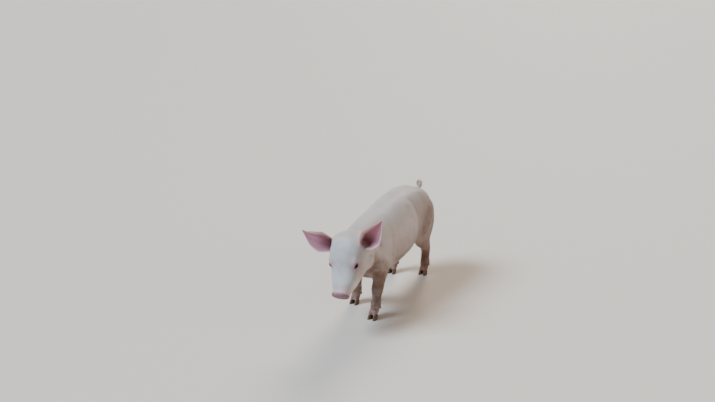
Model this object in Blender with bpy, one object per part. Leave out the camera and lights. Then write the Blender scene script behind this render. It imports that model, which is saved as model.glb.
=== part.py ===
"""A young white pig, standing with its head lowered: a still, life-size model.

The pig faces -Y with its left side at +X, in metres, +Z up.  The flesh is made whole, from lofts along
the body, head and legs that are melted into one surface, and is then parted by thin cuts into named parts.
Ears, eyes, tail, claws and dewclaws are solids of their own, set into the flesh.
"""

from collections import namedtuple
from math import cos, pi, radians, sin

import bmesh
import bpy
import numpy as np
from mathutils import Matrix, Vector

# ---------------------------------------------------------------- driving sizes

GAP = 0.0004  # left between solids that touch
SIDES = {"left": 1, "right": -1}

LIFE_SIZE = 0.93  # the whole pig, against the sizes below

HEAD_JOINT = Vector((-0.002, -0.368, 0.430))  # where the skull meets the neck
HEAD_PITCH, HEAD_YAW, HEAD_ROLL = radians(48.5), radians(10.5), radians(-12.0)
HEAD_SIZE = 1.12  # against the sections below

EYE_RADIUS = 0.0125
EYE_PLACE = Vector((0.0590, -0.129, 0.0395))  # left eye, in the head's own axes

NOSTRIL_RADIUS, NOSTRIL_DEPTH = 0.0060, 0.011
NOSTRIL_PLACE = Vector((0.0145, -0.269, 0.006))

EAR_THICKNESS = 0.0045

TAIL_ROOT = Vector((0.0, 0.345, 0.472))
TAIL_LOOP = Vector((0.0115, 0.018, 0.0180))  # the loop's half width, how far back one turn goes, half height
TAIL_THICK, TAIL_THIN = 0.0085, 0.0032

CLAW_LENGTH, CLAW_WIDTH, CLAW_TOE_HEIGHT, CLAW_HEEL_HEIGHT = 0.050, 0.0235, 0.033, 0.020
CLAW_SPREAD = 0.0135  # each claw's centre from the foot's
CLAW_SPLAY = radians(6)
DEWCLAW_RADII = (0.0070, 0.0080, 0.0125)

VOXEL = 0.0050
MELT_STEPS = 9
FLESH_TRIANGLES = 3000

LEG_PIVOT = 0.40  # legs swing from this height
FORE_REACH = {"left": -0.082, "right": 0.030}  # how far each foot swings; forward is negative
HIND_REACH = {"left": 0.030, "right": -0.050}

# ---------------------------------------------------------------- sections

# Each section stands between a point of the top line and a point of the under line, both (y, z).
# widest is the height of its widest place between them; upper and lower say how square each half is.
Section = namedtuple("Section", "top bottom half_width widest upper lower")

BODY = [
    Section((-0.425, 0.450), (-0.336, 0.314), 0.074, 0.50, 2.2, 2.0),  # inside the head
    Section((-0.380, 0.476), (-0.312, 0.256), 0.097, 0.48, 2.2, 2.1),  # neck
    Section((-0.307, 0.493), (-0.284, 0.197), 0.110, 0.46, 2.2, 2.1),  # base of the neck
    Section((-0.215, 0.508), (-0.218, 0.174), 0.119, 0.46, 2.3, 2.1),  # withers
    Section((-0.110, 0.522), (-0.115, 0.175), 0.126, 0.45, 2.3, 2.2),  # girth
    Section((0.010, 0.539), (0.010, 0.179), 0.131, 0.45, 2.4, 2.2),  # middle of the back
    Section((0.130, 0.550), (0.125, 0.194), 0.129, 0.48, 2.5, 2.1),  # loin
    Section((0.235, 0.543), (0.222, 0.226), 0.125, 0.50, 2.5, 2.1),  # hips
    Section((0.308, 0.524), (0.296, 0.268), 0.117, 0.50, 2.4, 2.1),  # rump
    Section((0.358, 0.490), (0.350, 0.312), 0.098, 0.50, 2.3, 2.1),  # root of the tail
    Section((0.388, 0.448), (0.382, 0.345), 0.060, 0.50, 2.1, 2.0),
]

# The head in its own axes, nose towards -y.
HEAD = [
    Section((0.030, 0.052), (0.010, -0.066), 0.068, 0.50, 2.2, 2.0),
    Section((-0.012, 0.079), (-0.015, -0.092), 0.090, 0.46, 2.6, 2.1),  # poll
    Section((-0.060, 0.086), (-0.060, -0.099), 0.094, 0.41, 2.7, 2.0),  # forehead and jowl
    Section((-0.108, 0.076), (-0.105, -0.088), 0.084, 0.42, 2.7, 2.0),  # eyes
    Section((-0.148, 0.057), (-0.145, -0.071), 0.071, 0.45, 2.6, 2.0),  # cheek
    Section((-0.188, 0.044), (-0.185, -0.056), 0.0605, 0.48, 2.6, 2.1),  # bridge of the nose
    Section((-0.223, 0.038), (-0.218, -0.043), 0.0495, 0.50, 2.5, 2.1),  # muzzle
    Section((-0.246, 0.0350), (-0.241, -0.033), 0.0400, 0.52, 2.4, 2.2),
    Section((-0.259, 0.0385), (-0.254, -0.029), 0.0415, 0.52, 2.3, 2.2),  # rim of the disc
    Section((-0.270, 0.0335), (-0.264, -0.025), 0.0365, 0.52, 2.3, 2.2),
]

JAW = [
    Section((-0.080, -0.030), (-0.070, -0.094), 0.056, 0.50, 2.0, 2.0),
    Section((-0.130, -0.020), (-0.120, -0.080), 0.050, 0.55, 2.0, 2.0),
    Section((-0.180, -0.012), (-0.172, -0.064), 0.039, 0.60, 2.0, 2.0),
    Section((-0.215, -0.012), (-0.212, -0.054), 0.0300, 0.60, 2.0, 2.0),
    Section((-0.248, -0.016), (-0.248, -0.046), 0.0240, 0.60, 2.0, 2.0),  # chin
]

# Legs, for the left side: each section's centre (x, y, z), its half depth fore and aft and its half width.
Joint = namedtuple("Joint", "x y z deep wide")

FORELEG = [
    Joint(0.050, -0.172, 0.440, 0.050, 0.036),  # shoulder blade
    Joint(0.072, -0.200, 0.395, 0.078, 0.046),
    Joint(0.084, -0.215, 0.350, 0.086, 0.046),
    Joint(0.086, -0.218, 0.295, 0.074, 0.044),  # point of the shoulder
    Joint(0.085, -0.210, 0.250, 0.056, 0.040),  # elbow
    Joint(0.083, -0.212, 0.210, 0.042, 0.035),  # forearm
    Joint(0.082, -0.217, 0.170, 0.036, 0.0315),
    Joint(0.081, -0.221, 0.142, 0.0340, 0.0320),  # knee
    Joint(0.081, -0.220, 0.116, 0.0290, 0.0270),
    Joint(0.081, -0.219, 0.092, 0.0270, 0.0260),
    Joint(0.082, -0.222, 0.068, 0.0295, 0.0300),  # fetlock
    Joint(0.083, -0.232, 0.046, 0.0245, 0.0270),
    Joint(0.083, -0.243, 0.028, 0.0230, 0.0260),
]

HINDLEG = [
    Joint(0.055, 0.235, 0.455, 0.070, 0.045),  # hip
    Joint(0.077, 0.256, 0.410, 0.112, 0.053),  # ham
    Joint(0.084, 0.260, 0.350, 0.122, 0.051),
    Joint(0.086, 0.257, 0.295, 0.110, 0.048),  # stifle
    Joint(0.085, 0.266, 0.245, 0.080, 0.041),
    Joint(0.081, 0.288, 0.205, 0.050, 0.033),  # gaskin
    Joint(0.080, 0.310, 0.172, 0.037, 0.0280),  # hock
    Joint(0.080, 0.317, 0.145, 0.0315, 0.0270),
    Joint(0.080, 0.313, 0.115, 0.0275, 0.0250),
    Joint(0.081, 0.307, 0.090, 0.0262, 0.0255),
    Joint(0.082, 0.302, 0.068, 0.0290, 0.0292),  # fetlock
    Joint(0.083, 0.291, 0.047, 0.0245, 0.0265),
    Joint(0.083, 0.279, 0.029, 0.0230, 0.0255),
]

# Where the left legs part from the trunk, seen from the front: a prism's outline, (x, z).
ARMPIT = [(0.012, -0.01), (0.012, 0.100), (0.045, 0.168), (0.20, 0.33), (0.25, -0.01)]
GROIN = [(0.012, -0.01), (0.012, 0.150), (0.040, 0.212), (0.20, 0.40), (0.25, -0.01)]

# An ear: its root in the head's axes; the way its tip lies, the way it opens and how its tip bends, in the
# body's axes.
Ear = namedtuple("Ear", "root reach opening bend")

EARS = {
    "left": Ear((0.083, -0.024, 0.041), (0.072, 0.006, 0.098), (0.52, -0.80, 0.26), (0.006, 0.004, 0.014)),
    "right": Ear((-0.072, -0.036, 0.025), (-0.170, -0.048, 0.034), (0.44, -0.86, 0.16), (0, 0, 0.026)),
}

# From root to tip: how far along, half the ear's width laid flat, and how far each half is rolled.
EAR_LEAF = [
    (0.00, 0.040, 2.20),
    (0.16, 0.055, 1.60),
    (0.34, 0.062, 1.15),
    (0.50, 0.057, 0.95),
    (0.66, 0.043, 0.85),
    (0.80, 0.026, 0.80),
    (0.91, 0.012, 0.80),
    (1.00, 0.003, 0.80),
]

# ---------------------------------------------------------------- shapes


def through(keys, steps):
    """Rows of numbers on a smooth curve through the keys, with this many steps from key to key."""
    keys = np.array(keys, float)
    padded = np.vstack([2 * keys[0] - keys[1], keys, 2 * keys[-1] - keys[-2]])
    rows = []
    for a, b, c, d in zip(padded, padded[1:], padded[2:], padded[3:]):
        for t in np.arange(steps) / steps:
            row = 2 * b + (c - a) * t + (2 * a - 5 * b + 4 * c - d) * t**2
            rows.append((row + (3 * b - a - 3 * c + d) * t**3) / 2)
    rows.append(keys[-1])
    return np.array(rows)


def power(value, exponent):
    """A signed power, for rounded squares."""
    return np.sign(value) * abs(value) ** exponent


def new_object(name, data):
    made = bpy.data.objects.new(name, data)
    bpy.context.scene.collection.objects.link(made)
    return made


def solid(name, vertices, faces, matrix=None):
    """A closed mesh with its faces turned outwards."""
    data = bpy.data.meshes.new(name)
    data.from_pydata([tuple(v) for v in vertices], [], faces)
    if matrix:
        data.transform(matrix)
    mesh = bmesh.new()
    mesh.from_mesh(data)
    bmesh.ops.recalc_face_normals(mesh, faces=mesh.faces)
    mesh.to_mesh(data)
    mesh.free()
    return new_object(name, data)


def skin_over(name, rings, matrix=None, folded=False):
    """A closed solid over rings of equally many points.

    Each end is closed by a fan, or, if a ring is a folded strip, by quads between its two layers.
    """
    count = len(rings[0])
    vertices = [p for ring in rings for p in ring]
    end = count * (len(rings) - 1)
    faces = []
    for k in range(count):
        n = (k + 1) % count
        for r in range(0, end, count):
            faces.append((r + k, r + n, r + count + n, r + count + k))
    if folded:
        for k in range(count // 2 - 1):
            faces.append((k, count - 1 - k, count - 2 - k, k + 1))
            faces.append((end + k, end + k + 1, end + count - 2 - k, end + count - 1 - k))
        return solid(name, vertices, faces, matrix)
    vertices += [np.mean(rings[0], axis=0), np.mean(rings[-1], axis=0)]
    first, last = len(vertices) - 2, len(vertices) - 1
    for k in range(count):
        n = (k + 1) % count
        faces.append((first, n, k))
        faces.append((last, end + k, end + n))
    return solid(name, vertices, faces, matrix)


def loft_sections(name, sections, matrix=None, around=40, steps=5):
    """A loft over sections that stand between a top line and an under line."""
    keys = [(*s.top, *s.bottom, s.half_width, s.widest, s.upper, s.lower) for s in sections]
    rings = []
    for top_y, top_z, low_y, low_z, half_width, widest, upper, lower in through(keys, steps):
        top, low = np.array((0, top_y, top_z)), np.array((0, low_y, low_z))
        middle = low + (top - low) * widest
        ring = []
        for angle in np.arange(around) * 2 * pi / around:
            square = upper if sin(angle) > 0 else lower
            out = half_width * power(cos(angle), 2 / square)
            rise = power(sin(angle), 2 / square)
            reach = (top - middle) if rise > 0 else (middle - low)
            ring.append(middle + rise * reach + np.array((out, 0, 0)))
        rings.append(ring)
    return skin_over(name, rings, matrix)


def swung(joints, side, reach):
    """A side's joints, swung so that the foot stands `reach` further back."""
    sign = SIDES[side]
    found = []
    for joint in joints:
        swing = reach * max(0.0, 1 - joint.z / LEG_PIVOT)
        found.append(joint._replace(x=sign * joint.x, y=joint.y + swing))
    return found


def loft_leg(name, joints, around=24, steps=4):
    """A leg whose sections stand square to its middle line."""
    rows = through(joints, steps)
    middles = rows[:, :3]
    ways = np.gradient(middles, axis=0)
    rings = []
    for middle, way, (deep, wide) in zip(middles, ways, rows[:, 3:]):
        across = Vector((1, 0, 0))
        fore = Vector(way).cross(across).normalized()
        ring = []
        for angle in np.arange(around) * 2 * pi / around:
            ring.append(Vector(middle) + across * wide * cos(angle) + fore * deep * sin(angle))
        rings.append(ring)
    return skin_over(name, rings)


def egg(name, centre, radii, matrix=None, tilt=0.0, segments=24):
    """An egg-shaped muscle, swelling or horn, tilted about the sideways axis."""
    place = Matrix.Translation(centre) @ Matrix.Rotation(tilt, 4, "X") @ Matrix.Diagonal((*radii, 1))
    mesh = bmesh.new()
    bmesh.ops.create_uvsphere(mesh, u_segments=segments, v_segments=segments // 2, radius=1, matrix=place)
    if matrix:
        bmesh.ops.transform(mesh, matrix=matrix, verts=mesh.verts)
    data = bpy.data.meshes.new(name)
    mesh.to_mesh(data)
    mesh.free()
    return new_object(name, data)


def tube(name, middles, radii, around=9):
    """A round, tapering solid along a line."""
    ways = np.gradient(np.array(middles), axis=0)
    rings = []
    across = Vector((1, 0, 0))
    for middle, way, radius in zip(middles, ways, radii):
        way = Vector(way).normalized()
        across = (across - way * across.dot(way)).normalized()
        other = way.cross(across)
        angles = np.arange(around) * 2 * pi / around
        rings.append([Vector(middle) + (across * cos(a) + other * sin(a)) * radius for a in angles])
    return skin_over(name, rings)


def prism(name, outline, low, high, along, matrix=None, grow=0.0):
    """A convex outline, given in order round it, carried along the x or the y axis from low to high."""
    points = [Vector(p) for p in outline]
    area = sum(a.cross(b) for a, b in zip(points, points[1:] + points[:1]))
    sides = []
    for a, b in zip(points, points[1:] + points[:1]):
        edge = (b - a).normalized()
        sides.append(Vector((edge.y, -edge.x)) * (1 if area > 0 else -1))
    grown = [p + grow * (m + n) / (1 + m.dot(n)) for p, m, n in zip(points, sides[-1:] + sides, sides)]
    vertices = []
    for end in (low - grow, high + grow):
        for a, b in grown:
            vertices.append((end, a, b) if along == "x" else (a, end, b))
    count = len(points)
    faces = [tuple(range(count)), tuple(range(count, 2 * count))]
    faces += [(k, (k + 1) % count, count + (k + 1) % count, count + k) for k in range(count)]
    return solid(name, vertices, faces, matrix)


# ---------------------------------------------------------------- joining and cutting


def settle(made):
    """Applies the object's modifiers."""
    graph = bpy.context.evaluated_depsgraph_get()
    mesh = bpy.data.meshes.new_from_object(made.evaluated_get(graph))
    made.modifiers.clear()
    made.data = mesh


def combine(made, other, operation):
    """Cuts or crosses a solid with another, which is used up."""
    modifier = made.modifiers.new(operation, "BOOLEAN")
    modifier.operation = operation
    modifier.object = other
    settle(made)
    bpy.data.objects.remove(other)


def copy_of(made, name, grow=0.0):
    """A copy, grown outwards a little if asked."""
    other = new_object(name, made.data.copy())
    if grow:
        swell = other.modifiers.new("grow", "DISPLACE")
        swell.strength = grow
        swell.mid_level = 0
        settle(other)
    return other


def part_off(flesh, name, outline, low, high, along, matrix=None):
    """Parts the flesh inside a prism from the rest, with a thin gap between them."""
    part = copy_of(flesh, name)
    combine(part, prism("cutter", outline, low, high, along, matrix), "INTERSECT")
    combine(flesh, prism("cutter", outline, low, high, along, matrix, grow=GAP), "DIFFERENCE")
    return part


def head_matrix():
    turn = (
        Matrix.Rotation(HEAD_YAW, 4, "Z")
        @ Matrix.Rotation(HEAD_PITCH, 4, "X")
        @ Matrix.Rotation(HEAD_ROLL, 4, "Y")
    )
    return Matrix.Translation(HEAD_JOINT) @ turn @ Matrix.Scale(HEAD_SIZE, 4)


# ---------------------------------------------------------------- flesh


def whole_flesh():
    """Body, head and legs melted into one surface."""
    head = head_matrix()
    pieces = [
        loft_sections("flesh", BODY),
        loft_sections("skull", HEAD, head, around=36),
        loft_sections("jaw", JAW, head, around=24),
    ]
    for side, sign in SIDES.items():
        pieces.append(loft_leg("foreleg", swung(FORELEG, side, FORE_REACH[side])))
        pieces.append(loft_leg("hindleg", swung(HINDLEG, side, HIND_REACH[side])))
        pieces.append(egg("brow", (sign * 0.052, -0.108, 0.052), (0.021, 0.030, 0.013), head))
        pieces.append(egg("cheek", (sign * 0.060, -0.065, -0.032), (0.038, 0.060, 0.052), head))
        pieces.append(egg("ear root", (sign * 0.062, -0.022, 0.044), (0.027, 0.034, 0.030), head))
    flesh = pieces[0]
    with bpy.context.temp_override(active_object=flesh, selected_editable_objects=pieces):
        bpy.ops.object.join()
    melt = flesh.modifiers.new("melt", "REMESH")
    melt.mode = "VOXEL"
    melt.voxel_size = VOXEL
    smooth = flesh.modifiers.new("smooth", "SMOOTH")
    smooth.factor = 0.5
    smooth.iterations = MELT_STEPS
    settle(flesh)
    thin = flesh.modifiers.new("thin", "DECIMATE")
    thin.ratio = FLESH_TRIANGLES / (2 * len(flesh.data.polygons))
    settle(flesh)
    return flesh


def part_flesh(flesh):
    """Parts the whole flesh into named parts."""
    for side, sign in SIDES.items():
        armpit = [(sign * x, z) for x, z in ARMPIT]
        groin = [(sign * x, z) for x, z in GROIN]
        part_off(flesh, "foreleg_" + side, armpit, -0.42, -0.125, "y")
        part_off(flesh, "hindleg_" + side, groin, 0.15, 0.46, "y")
    frame = head_matrix()
    skull = [(0.0, 0.2), (0.0, -0.118), (-0.35, -0.118), (-0.35, 0.2)]
    mouth = [(-0.145, -0.030), (-0.145, -0.130), (-0.35, -0.130), (-0.35, -0.030)]
    disc = [(-0.248, 0.1), (-0.248, -0.030), (-0.35, -0.030), (-0.35, 0.1)]
    head = part_off(flesh, "head", skull, -0.17, 0.17, "x", frame)
    part_off(head, "lower_jaw", mouth, -0.15, 0.15, "x", frame)
    part_off(head, "snout", disc, -0.15, 0.15, "x", frame)
    nape = [(-0.60, 0.60), (-0.295, 0.60), (-0.255, 0.232), (-0.60, 0.232)]
    part_off(flesh, "neck", nape, -0.2, 0.2, "x")
    flesh.name = "trunk"


# ---------------------------------------------------------------- eyes, nostrils, ears and tail


def add_eye(flesh, side):
    place = head_matrix() @ Vector((SIDES[side] * EYE_PLACE.x, EYE_PLACE.y, EYE_PLACE.z))
    socket = EYE_RADIUS + GAP
    combine(flesh, egg("socket", place, (socket,) * 3), "DIFFERENCE")
    egg("eye_" + side, place, (EYE_RADIUS,) * 3, segments=16)


def cut_nostril(flesh, side):
    x = SIDES[side] * NOSTRIL_PLACE.x
    place = Vector((x, NOSTRIL_PLACE.y, NOSTRIL_PLACE.z))
    radii = (NOSTRIL_RADIUS, NOSTRIL_DEPTH, NOSTRIL_RADIUS * 1.25)
    combine(flesh, egg("nostril", place, radii, head_matrix(), segments=16), "DIFFERENCE")


def ear_axes(ear):
    """The ear's length, width and opening directions."""
    up = Vector(ear.reach).normalized()
    opening = Vector(ear.opening)
    opening = (opening - up * opening.dot(up)).normalized()
    return up, up.cross(opening), opening


def add_ear(flesh, side, across=8):
    """A curled leaf: rolled into a tube at its root, open and dished above, its tip bent."""
    ear = EARS[side]
    up, wide, opening = ear_axes(ear)
    root = head_matrix() @ Vector(ear.root)
    length = Vector(ear.reach).length
    rings = []
    for t, half, roll in through(EAR_LEAF, 2):
        radius = half / roll
        middle = root + up * length * t + opening * (0.010 * t - 0.030 * t**2)
        middle += Vector(ear.bend) * (max(0.0, t - 0.55) / 0.45) ** 2
        outside, inside = [], []
        for s in np.linspace(-1, 1, across):
            angle = s * roll
            thick = EAR_THICKNESS * (1 - 0.45 * t) * (1 - 0.5 * s * s) / 2
            for ring, bend in ((outside, radius + thick), (inside, radius - thick)):
                ring.append(middle + wide * bend * sin(angle) + opening * (radius - bend * cos(angle)))
        rings.append(outside + inside[::-1])
    made = skin_over("ear_" + side, rings, folded=True)
    combine(made, copy_of(flesh, "grown flesh", grow=GAP), "DIFFERENCE")


def add_tail(flesh):
    """A short tail that stands up from the rump and turns once round on itself."""
    middles = [TAIL_ROOT, TAIL_ROOT + Vector((0, 0.018, 0.014)), TAIL_ROOT + Vector((0, 0.032, 0.026))]
    start = middles[-1] + Vector((0, 0.004, TAIL_LOOP.z + 0.003))
    for turn in np.linspace(0.35, 2 * pi * 1.02, 16):
        out, back, rise = sin(turn), turn / (2 * pi), -cos(turn)
        middles.append(start + Vector((out * TAIL_LOOP.x, back * TAIL_LOOP.y, rise * TAIL_LOOP.z)))
    radii = np.linspace(TAIL_THICK, TAIL_THIN, len(middles))
    made = tube("tail", middles, radii)
    combine(made, copy_of(flesh, "grown flesh", grow=GAP), "DIFFERENCE")


# ---------------------------------------------------------------- claws


def claw(name, place, turn, grow=0.0, around=14):
    """A horny claw with a flat sole, its front wall sloping back to the coronet."""
    rings = []
    for t in (0.0, 0.12, 0.80, 1.0):
        narrow = 1 - 0.04 * (t - 0.12) ** 2 - 0.14 * t
        if t == 0:
            narrow = 0.965
        ring = []
        for angle in np.arange(around) * 2 * pi / around:
            fore = max(0.0, -sin(angle))
            x = (CLAW_WIDTH / 2 + grow) * cos(angle) * (1 - 0.22 * fore**2) * narrow
            y = (CLAW_LENGTH / 2 + grow) * sin(angle) * narrow + 0.0090 * t
            slope = CLAW_HEEL_HEIGHT + (CLAW_TOE_HEIGHT - CLAW_HEEL_HEIGHT) * (0.5 - 0.5 * sin(angle))
            ring.append((x, y, t * (slope + grow)))
        rings.append(ring)
    return skin_over(name, rings, Matrix.Translation(place) @ Matrix.Rotation(turn, 4, "Z"))


def add_foot(flesh, leg, joints):
    """Two claws under the last section, and two dewclaws behind the fetlock."""
    sole = joints[-1]
    fetlock = joints[-2]
    for inner, name in ((1, "right"), (-1, "left")):
        x = sole.x - inner * CLAW_SPREAD
        place = (x, sole.y - 0.008, 0.0)
        turn = inner * -CLAW_SPLAY
        combine(flesh, claw("grown claw", place, turn, grow=GAP), "DIFFERENCE")
        claw(f"claw_{leg}_{name}", place, turn)
        place = (fetlock.x - inner * 0.0170, fetlock.y + 0.0235, fetlock.z + 0.004)
        grown = tuple(r + GAP for r in DEWCLAW_RADII)
        combine(flesh, egg("grown dewclaw", place, grown, tilt=radians(35), segments=8), "DIFFERENCE")
        egg(f"dewclaw_{leg}_{name}", place, DEWCLAW_RADII, tilt=radians(35), segments=8)


# ---------------------------------------------------------------- materials and placing


def material(name, colour, roughness):
    made = bpy.data.materials.new(name)
    made.use_nodes = True
    shader = made.node_tree.nodes["Principled BSDF"]
    shader.inputs["Base Color"].default_value = (*colour, 1)
    shader.inputs["Roughness"].default_value = roughness
    return made


def paint():
    skin = material("skin", (0.78, 0.60, 0.53), 0.55)
    disc = material("snout_skin", (0.60, 0.36, 0.36), 0.42)
    eye = material("eye", (0.03, 0.02, 0.02), 0.06)
    horn = material("horn", (0.30, 0.24, 0.19), 0.50)
    for made in bpy.data.objects:
        made.data.materials.clear()
        if made.name.startswith(("claw", "dewclaw")):
            made.data.materials.append(horn)
        elif made.name.startswith("eye"):
            made.data.materials.append(eye)
        elif made.name == "snout":
            made.data.materials.append(disc)
        else:
            made.data.materials.append(skin)


def place_origin():
    """Puts the middle of the footprint at the origin, and brings all of it to life size."""
    corners = np.array([v.co for made in bpy.data.objects for v in made.data.vertices])
    low, high = corners.min(axis=0), corners.max(axis=0)
    shift = Matrix.Translation((-(low[0] + high[0]) / 2, -(low[1] + high[1]) / 2, -low[2]))
    shift = Matrix.Scale(LIFE_SIZE, 4) @ shift
    for made in bpy.data.objects:
        made.data.transform(shift)


def build():
    flesh = whole_flesh()
    for side in SIDES:
        add_ear(flesh, side)
    add_tail(flesh)
    for side in SIDES:
        add_eye(flesh, side)
        cut_nostril(flesh, side)
        add_foot(flesh, "fore_" + side, swung(FORELEG, side, FORE_REACH[side]))
        add_foot(flesh, "hind_" + side, swung(HINDLEG, side, HIND_REACH[side]))
    part_flesh(flesh)
    paint()
    place_origin()


bpy.context.preferences.edit.use_global_undo = False
for old in list(bpy.data.objects):
    bpy.data.objects.remove(old)
build()
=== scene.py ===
"""The looks of a young white pig, a still museum model.

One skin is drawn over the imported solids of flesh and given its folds, lids, nostrils and mouth.  Then ears and
tail are grown into it.  Eyes and claws are pieces of their own, and a coat of joined bristles lies along the
skin.  The pig faces -Y with its left side at +X, in metres.
"""

from collections import namedtuple
from math import cos, pi, radians, sin

import bmesh
import bpy
import numpy as np
from mathutils import Matrix, Vector
from mathutils.kdtree import KDTree


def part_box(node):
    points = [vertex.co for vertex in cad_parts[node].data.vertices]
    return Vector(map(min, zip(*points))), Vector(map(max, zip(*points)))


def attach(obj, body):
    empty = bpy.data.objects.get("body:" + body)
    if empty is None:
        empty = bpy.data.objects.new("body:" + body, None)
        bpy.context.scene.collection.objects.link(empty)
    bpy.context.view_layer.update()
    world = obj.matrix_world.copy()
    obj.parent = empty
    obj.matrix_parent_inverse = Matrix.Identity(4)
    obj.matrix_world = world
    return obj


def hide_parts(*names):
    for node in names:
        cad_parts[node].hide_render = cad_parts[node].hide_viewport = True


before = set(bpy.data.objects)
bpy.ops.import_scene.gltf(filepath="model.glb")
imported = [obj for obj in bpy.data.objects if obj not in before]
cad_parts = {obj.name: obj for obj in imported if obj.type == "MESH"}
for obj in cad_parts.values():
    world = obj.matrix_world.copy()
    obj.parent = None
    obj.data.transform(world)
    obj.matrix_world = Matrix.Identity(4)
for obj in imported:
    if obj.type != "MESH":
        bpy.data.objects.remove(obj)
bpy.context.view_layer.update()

# ---------------------------------------------------------------- driving sizes

SIDES = {"left": 1, "right": -1}
LEGS = [f"{pair}leg_{side}" for pair in ("fore", "hind") for side in SIDES]
FLESH = ["trunk", "neck", "head", "lower_jaw", "snout", *LEGS]

COAT_DEPTH = 0.0012  # how far the skin is set inside the solids, before its folds are carved
BRIDGE = 0.0005  # each solid is grown this much, so that the thin cuts between them close
CORONET = 0.0022  # how much the skin that grips a claw's top is grown over it
CLAW_COVERED = 0.0215  # the height over the floor that the claws show below
VOXEL, CLAW_VOXEL = 0.0056, 0.0011  # the cells that skin and claws are remeshed with
SMOOTH_ROUNDS, NAPE_ROUNDS, FOOT_ROUNDS = 34, 45, 3
ROOT_ROUNDS, CANAL_ROUNDS = 9, 26
PULL = 0.5  # the share of the way to the mean that smoothing goes in a round
EASE = 0.9  # how strongly a region is smoothed in a round, from 0 to 1

# The head's turn and the places in it, in the head's own axes: x to its left, nose towards -y, z up.
HEAD_TURN = (
    Matrix.Rotation(radians(10.5), 3, "Z")
    @ Matrix.Rotation(radians(48.5), 3, "X")
    @ Matrix.Rotation(radians(-12.0), 3, "Y")
)
EYE_PLACE = Vector((0.0590, -0.129, 0.0395))
NOSTRIL_PLACE = Vector((0.0145, -0.269, 0.006))
DISC_MIDDLE, DISC_HALF = Vector((0.0, -0.266, 0.0045)), (0.0400, 0.0325)


def middle_of(node):
    low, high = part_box(node)
    return (low + high) / 2


EYES = {side: middle_of("eye_" + side) for side in SIDES}
EYE_RADIUS = (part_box("eye_left")[1].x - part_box("eye_left")[0].x) / 2
HEAD_SCALE = (EYES["left"] - EYES["right"]).length / (2 * EYE_PLACE.x)
EYE_LINE = HEAD_TURN @ Vector((0, EYE_PLACE.y, EYE_PLACE.z)) * HEAD_SCALE
HEAD_JOINT = (EYES["left"] + EYES["right"]) / 2 - EYE_LINE
HEAD = Matrix.Translation(HEAD_JOINT) @ HEAD_TURN.to_4x4() @ Matrix.Scale(HEAD_SCALE, 4)

MIDLINE = (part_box("foreleg_left")[1].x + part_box("foreleg_right")[0].x) / 2

# ---------------------------------------------------------------- meshes and numbers


def new_object(name, data):
    made = bpy.data.objects.new(name, data)
    bpy.context.scene.collection.objects.link(made)
    return made


def mesh_of(name, vertices, faces):
    data = bpy.data.meshes.new(name)
    data.from_pydata([tuple(v) for v in vertices], [], faces)
    return data


def settle(made):
    """Applies the object's modifiers."""
    graph = bpy.context.evaluated_depsgraph_get()
    mesh = bpy.data.meshes.new_from_object(made.evaluated_get(graph))
    made.modifiers.clear()
    made.data = mesh


def melt(made, cell):
    """Remeshes the object into one closed surface."""
    remesh = made.modifiers.new("melt", "REMESH")
    remesh.mode = "VOXEL"
    remesh.voxel_size = cell
    settle(made)


def edit_mesh(data, change):
    """Runs a change on the mesh's editable form."""
    mesh = bmesh.new()
    mesh.from_mesh(data)
    change(mesh)
    mesh.to_mesh(data)
    mesh.free()


def closed_mesh(name, vertices, faces):
    """A mesh whose faces all look outwards."""
    data = mesh_of(name, vertices, faces)
    edit_mesh(data, lambda mesh: bmesh.ops.recalc_face_normals(mesh, faces=mesh.faces))
    return data


def ring_faces(rings, size):
    """Faces that join each ring of points to the next."""
    faces = []
    for a in range(0, (rings - 1) * size, size):
        for k in range(size):
            n = (k + 1) % size
            faces.append((a + k, a + n, a + size + n, a + size + k))
    return faces


def rows_of(items, field, width, kind=float):
    """A field of all the items, as rows of numbers."""
    values = np.empty(len(items) * width, kind)
    items.foreach_get(field, values)
    return values.reshape(-1, width)


def points_of(data):
    return rows_of(data.vertices, "co", 3)


def normals_of(data):
    return rows_of(data.vertex_normals, "vector", 3, np.float32).astype(float)


def edges_of(data):
    return rows_of(data.edges, "vertices", 2, np.int32)


def triangles_of(data):
    data.calc_loop_triangles()
    return rows_of(data.loop_triangles, "vertices", 3, np.int32)


def values_of(data, name):
    return rows_of(data.attributes[name].data, "value", 1, np.float32)[:, 0].astype(float)


def add_values(data, name, values):
    data.attributes.new(name, "FLOAT", "POINT").data.foreach_set("value", values.astype(np.float32))


def put_points(data, points):
    data.vertices.foreach_set("co", points.ravel())
    data.update()


def neighbours_mean(values, edges):
    """The mean of each vertex's neighbours."""
    count = len(values)
    a, b = edges[:, 0], edges[:, 1]
    degree = np.bincount(a, minlength=count) + np.bincount(b, minlength=count)
    flat = values.reshape(count, -1)
    total = np.empty_like(flat)
    for k in range(flat.shape[1]):
        total[:, k] = np.bincount(a, flat[b, k], count) + np.bincount(b, flat[a, k], count)
    return (total / np.maximum(degree, 1)[:, None]).reshape(values.shape)


def smoothed(values, edges, rounds, weight=None, push=-0.52):
    """Each round pulls the values to their neighbours' mean and pushes them back out, to keep the volume."""
    if weight is None:
        weight = np.ones(len(values))
    weight = weight.reshape(-1, *[1] * (values.ndim - 1))
    for _ in range(rounds):
        for step in (PULL, push):
            values = values + weight * step * (neighbours_mean(values, edges) - values)
    return values


def ramp(value, start, end):
    """0 before start, 1 after end, smooth between; start may be above end."""
    t = np.clip((value - start) / (end - start), 0, 1)
    return t * t * (3 - 2 * t)


def bump(distance, width):
    """1 at distance 0, falling smoothly to 0 at about the width."""
    return np.exp(-2.5 * (distance / width) ** 2)


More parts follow.
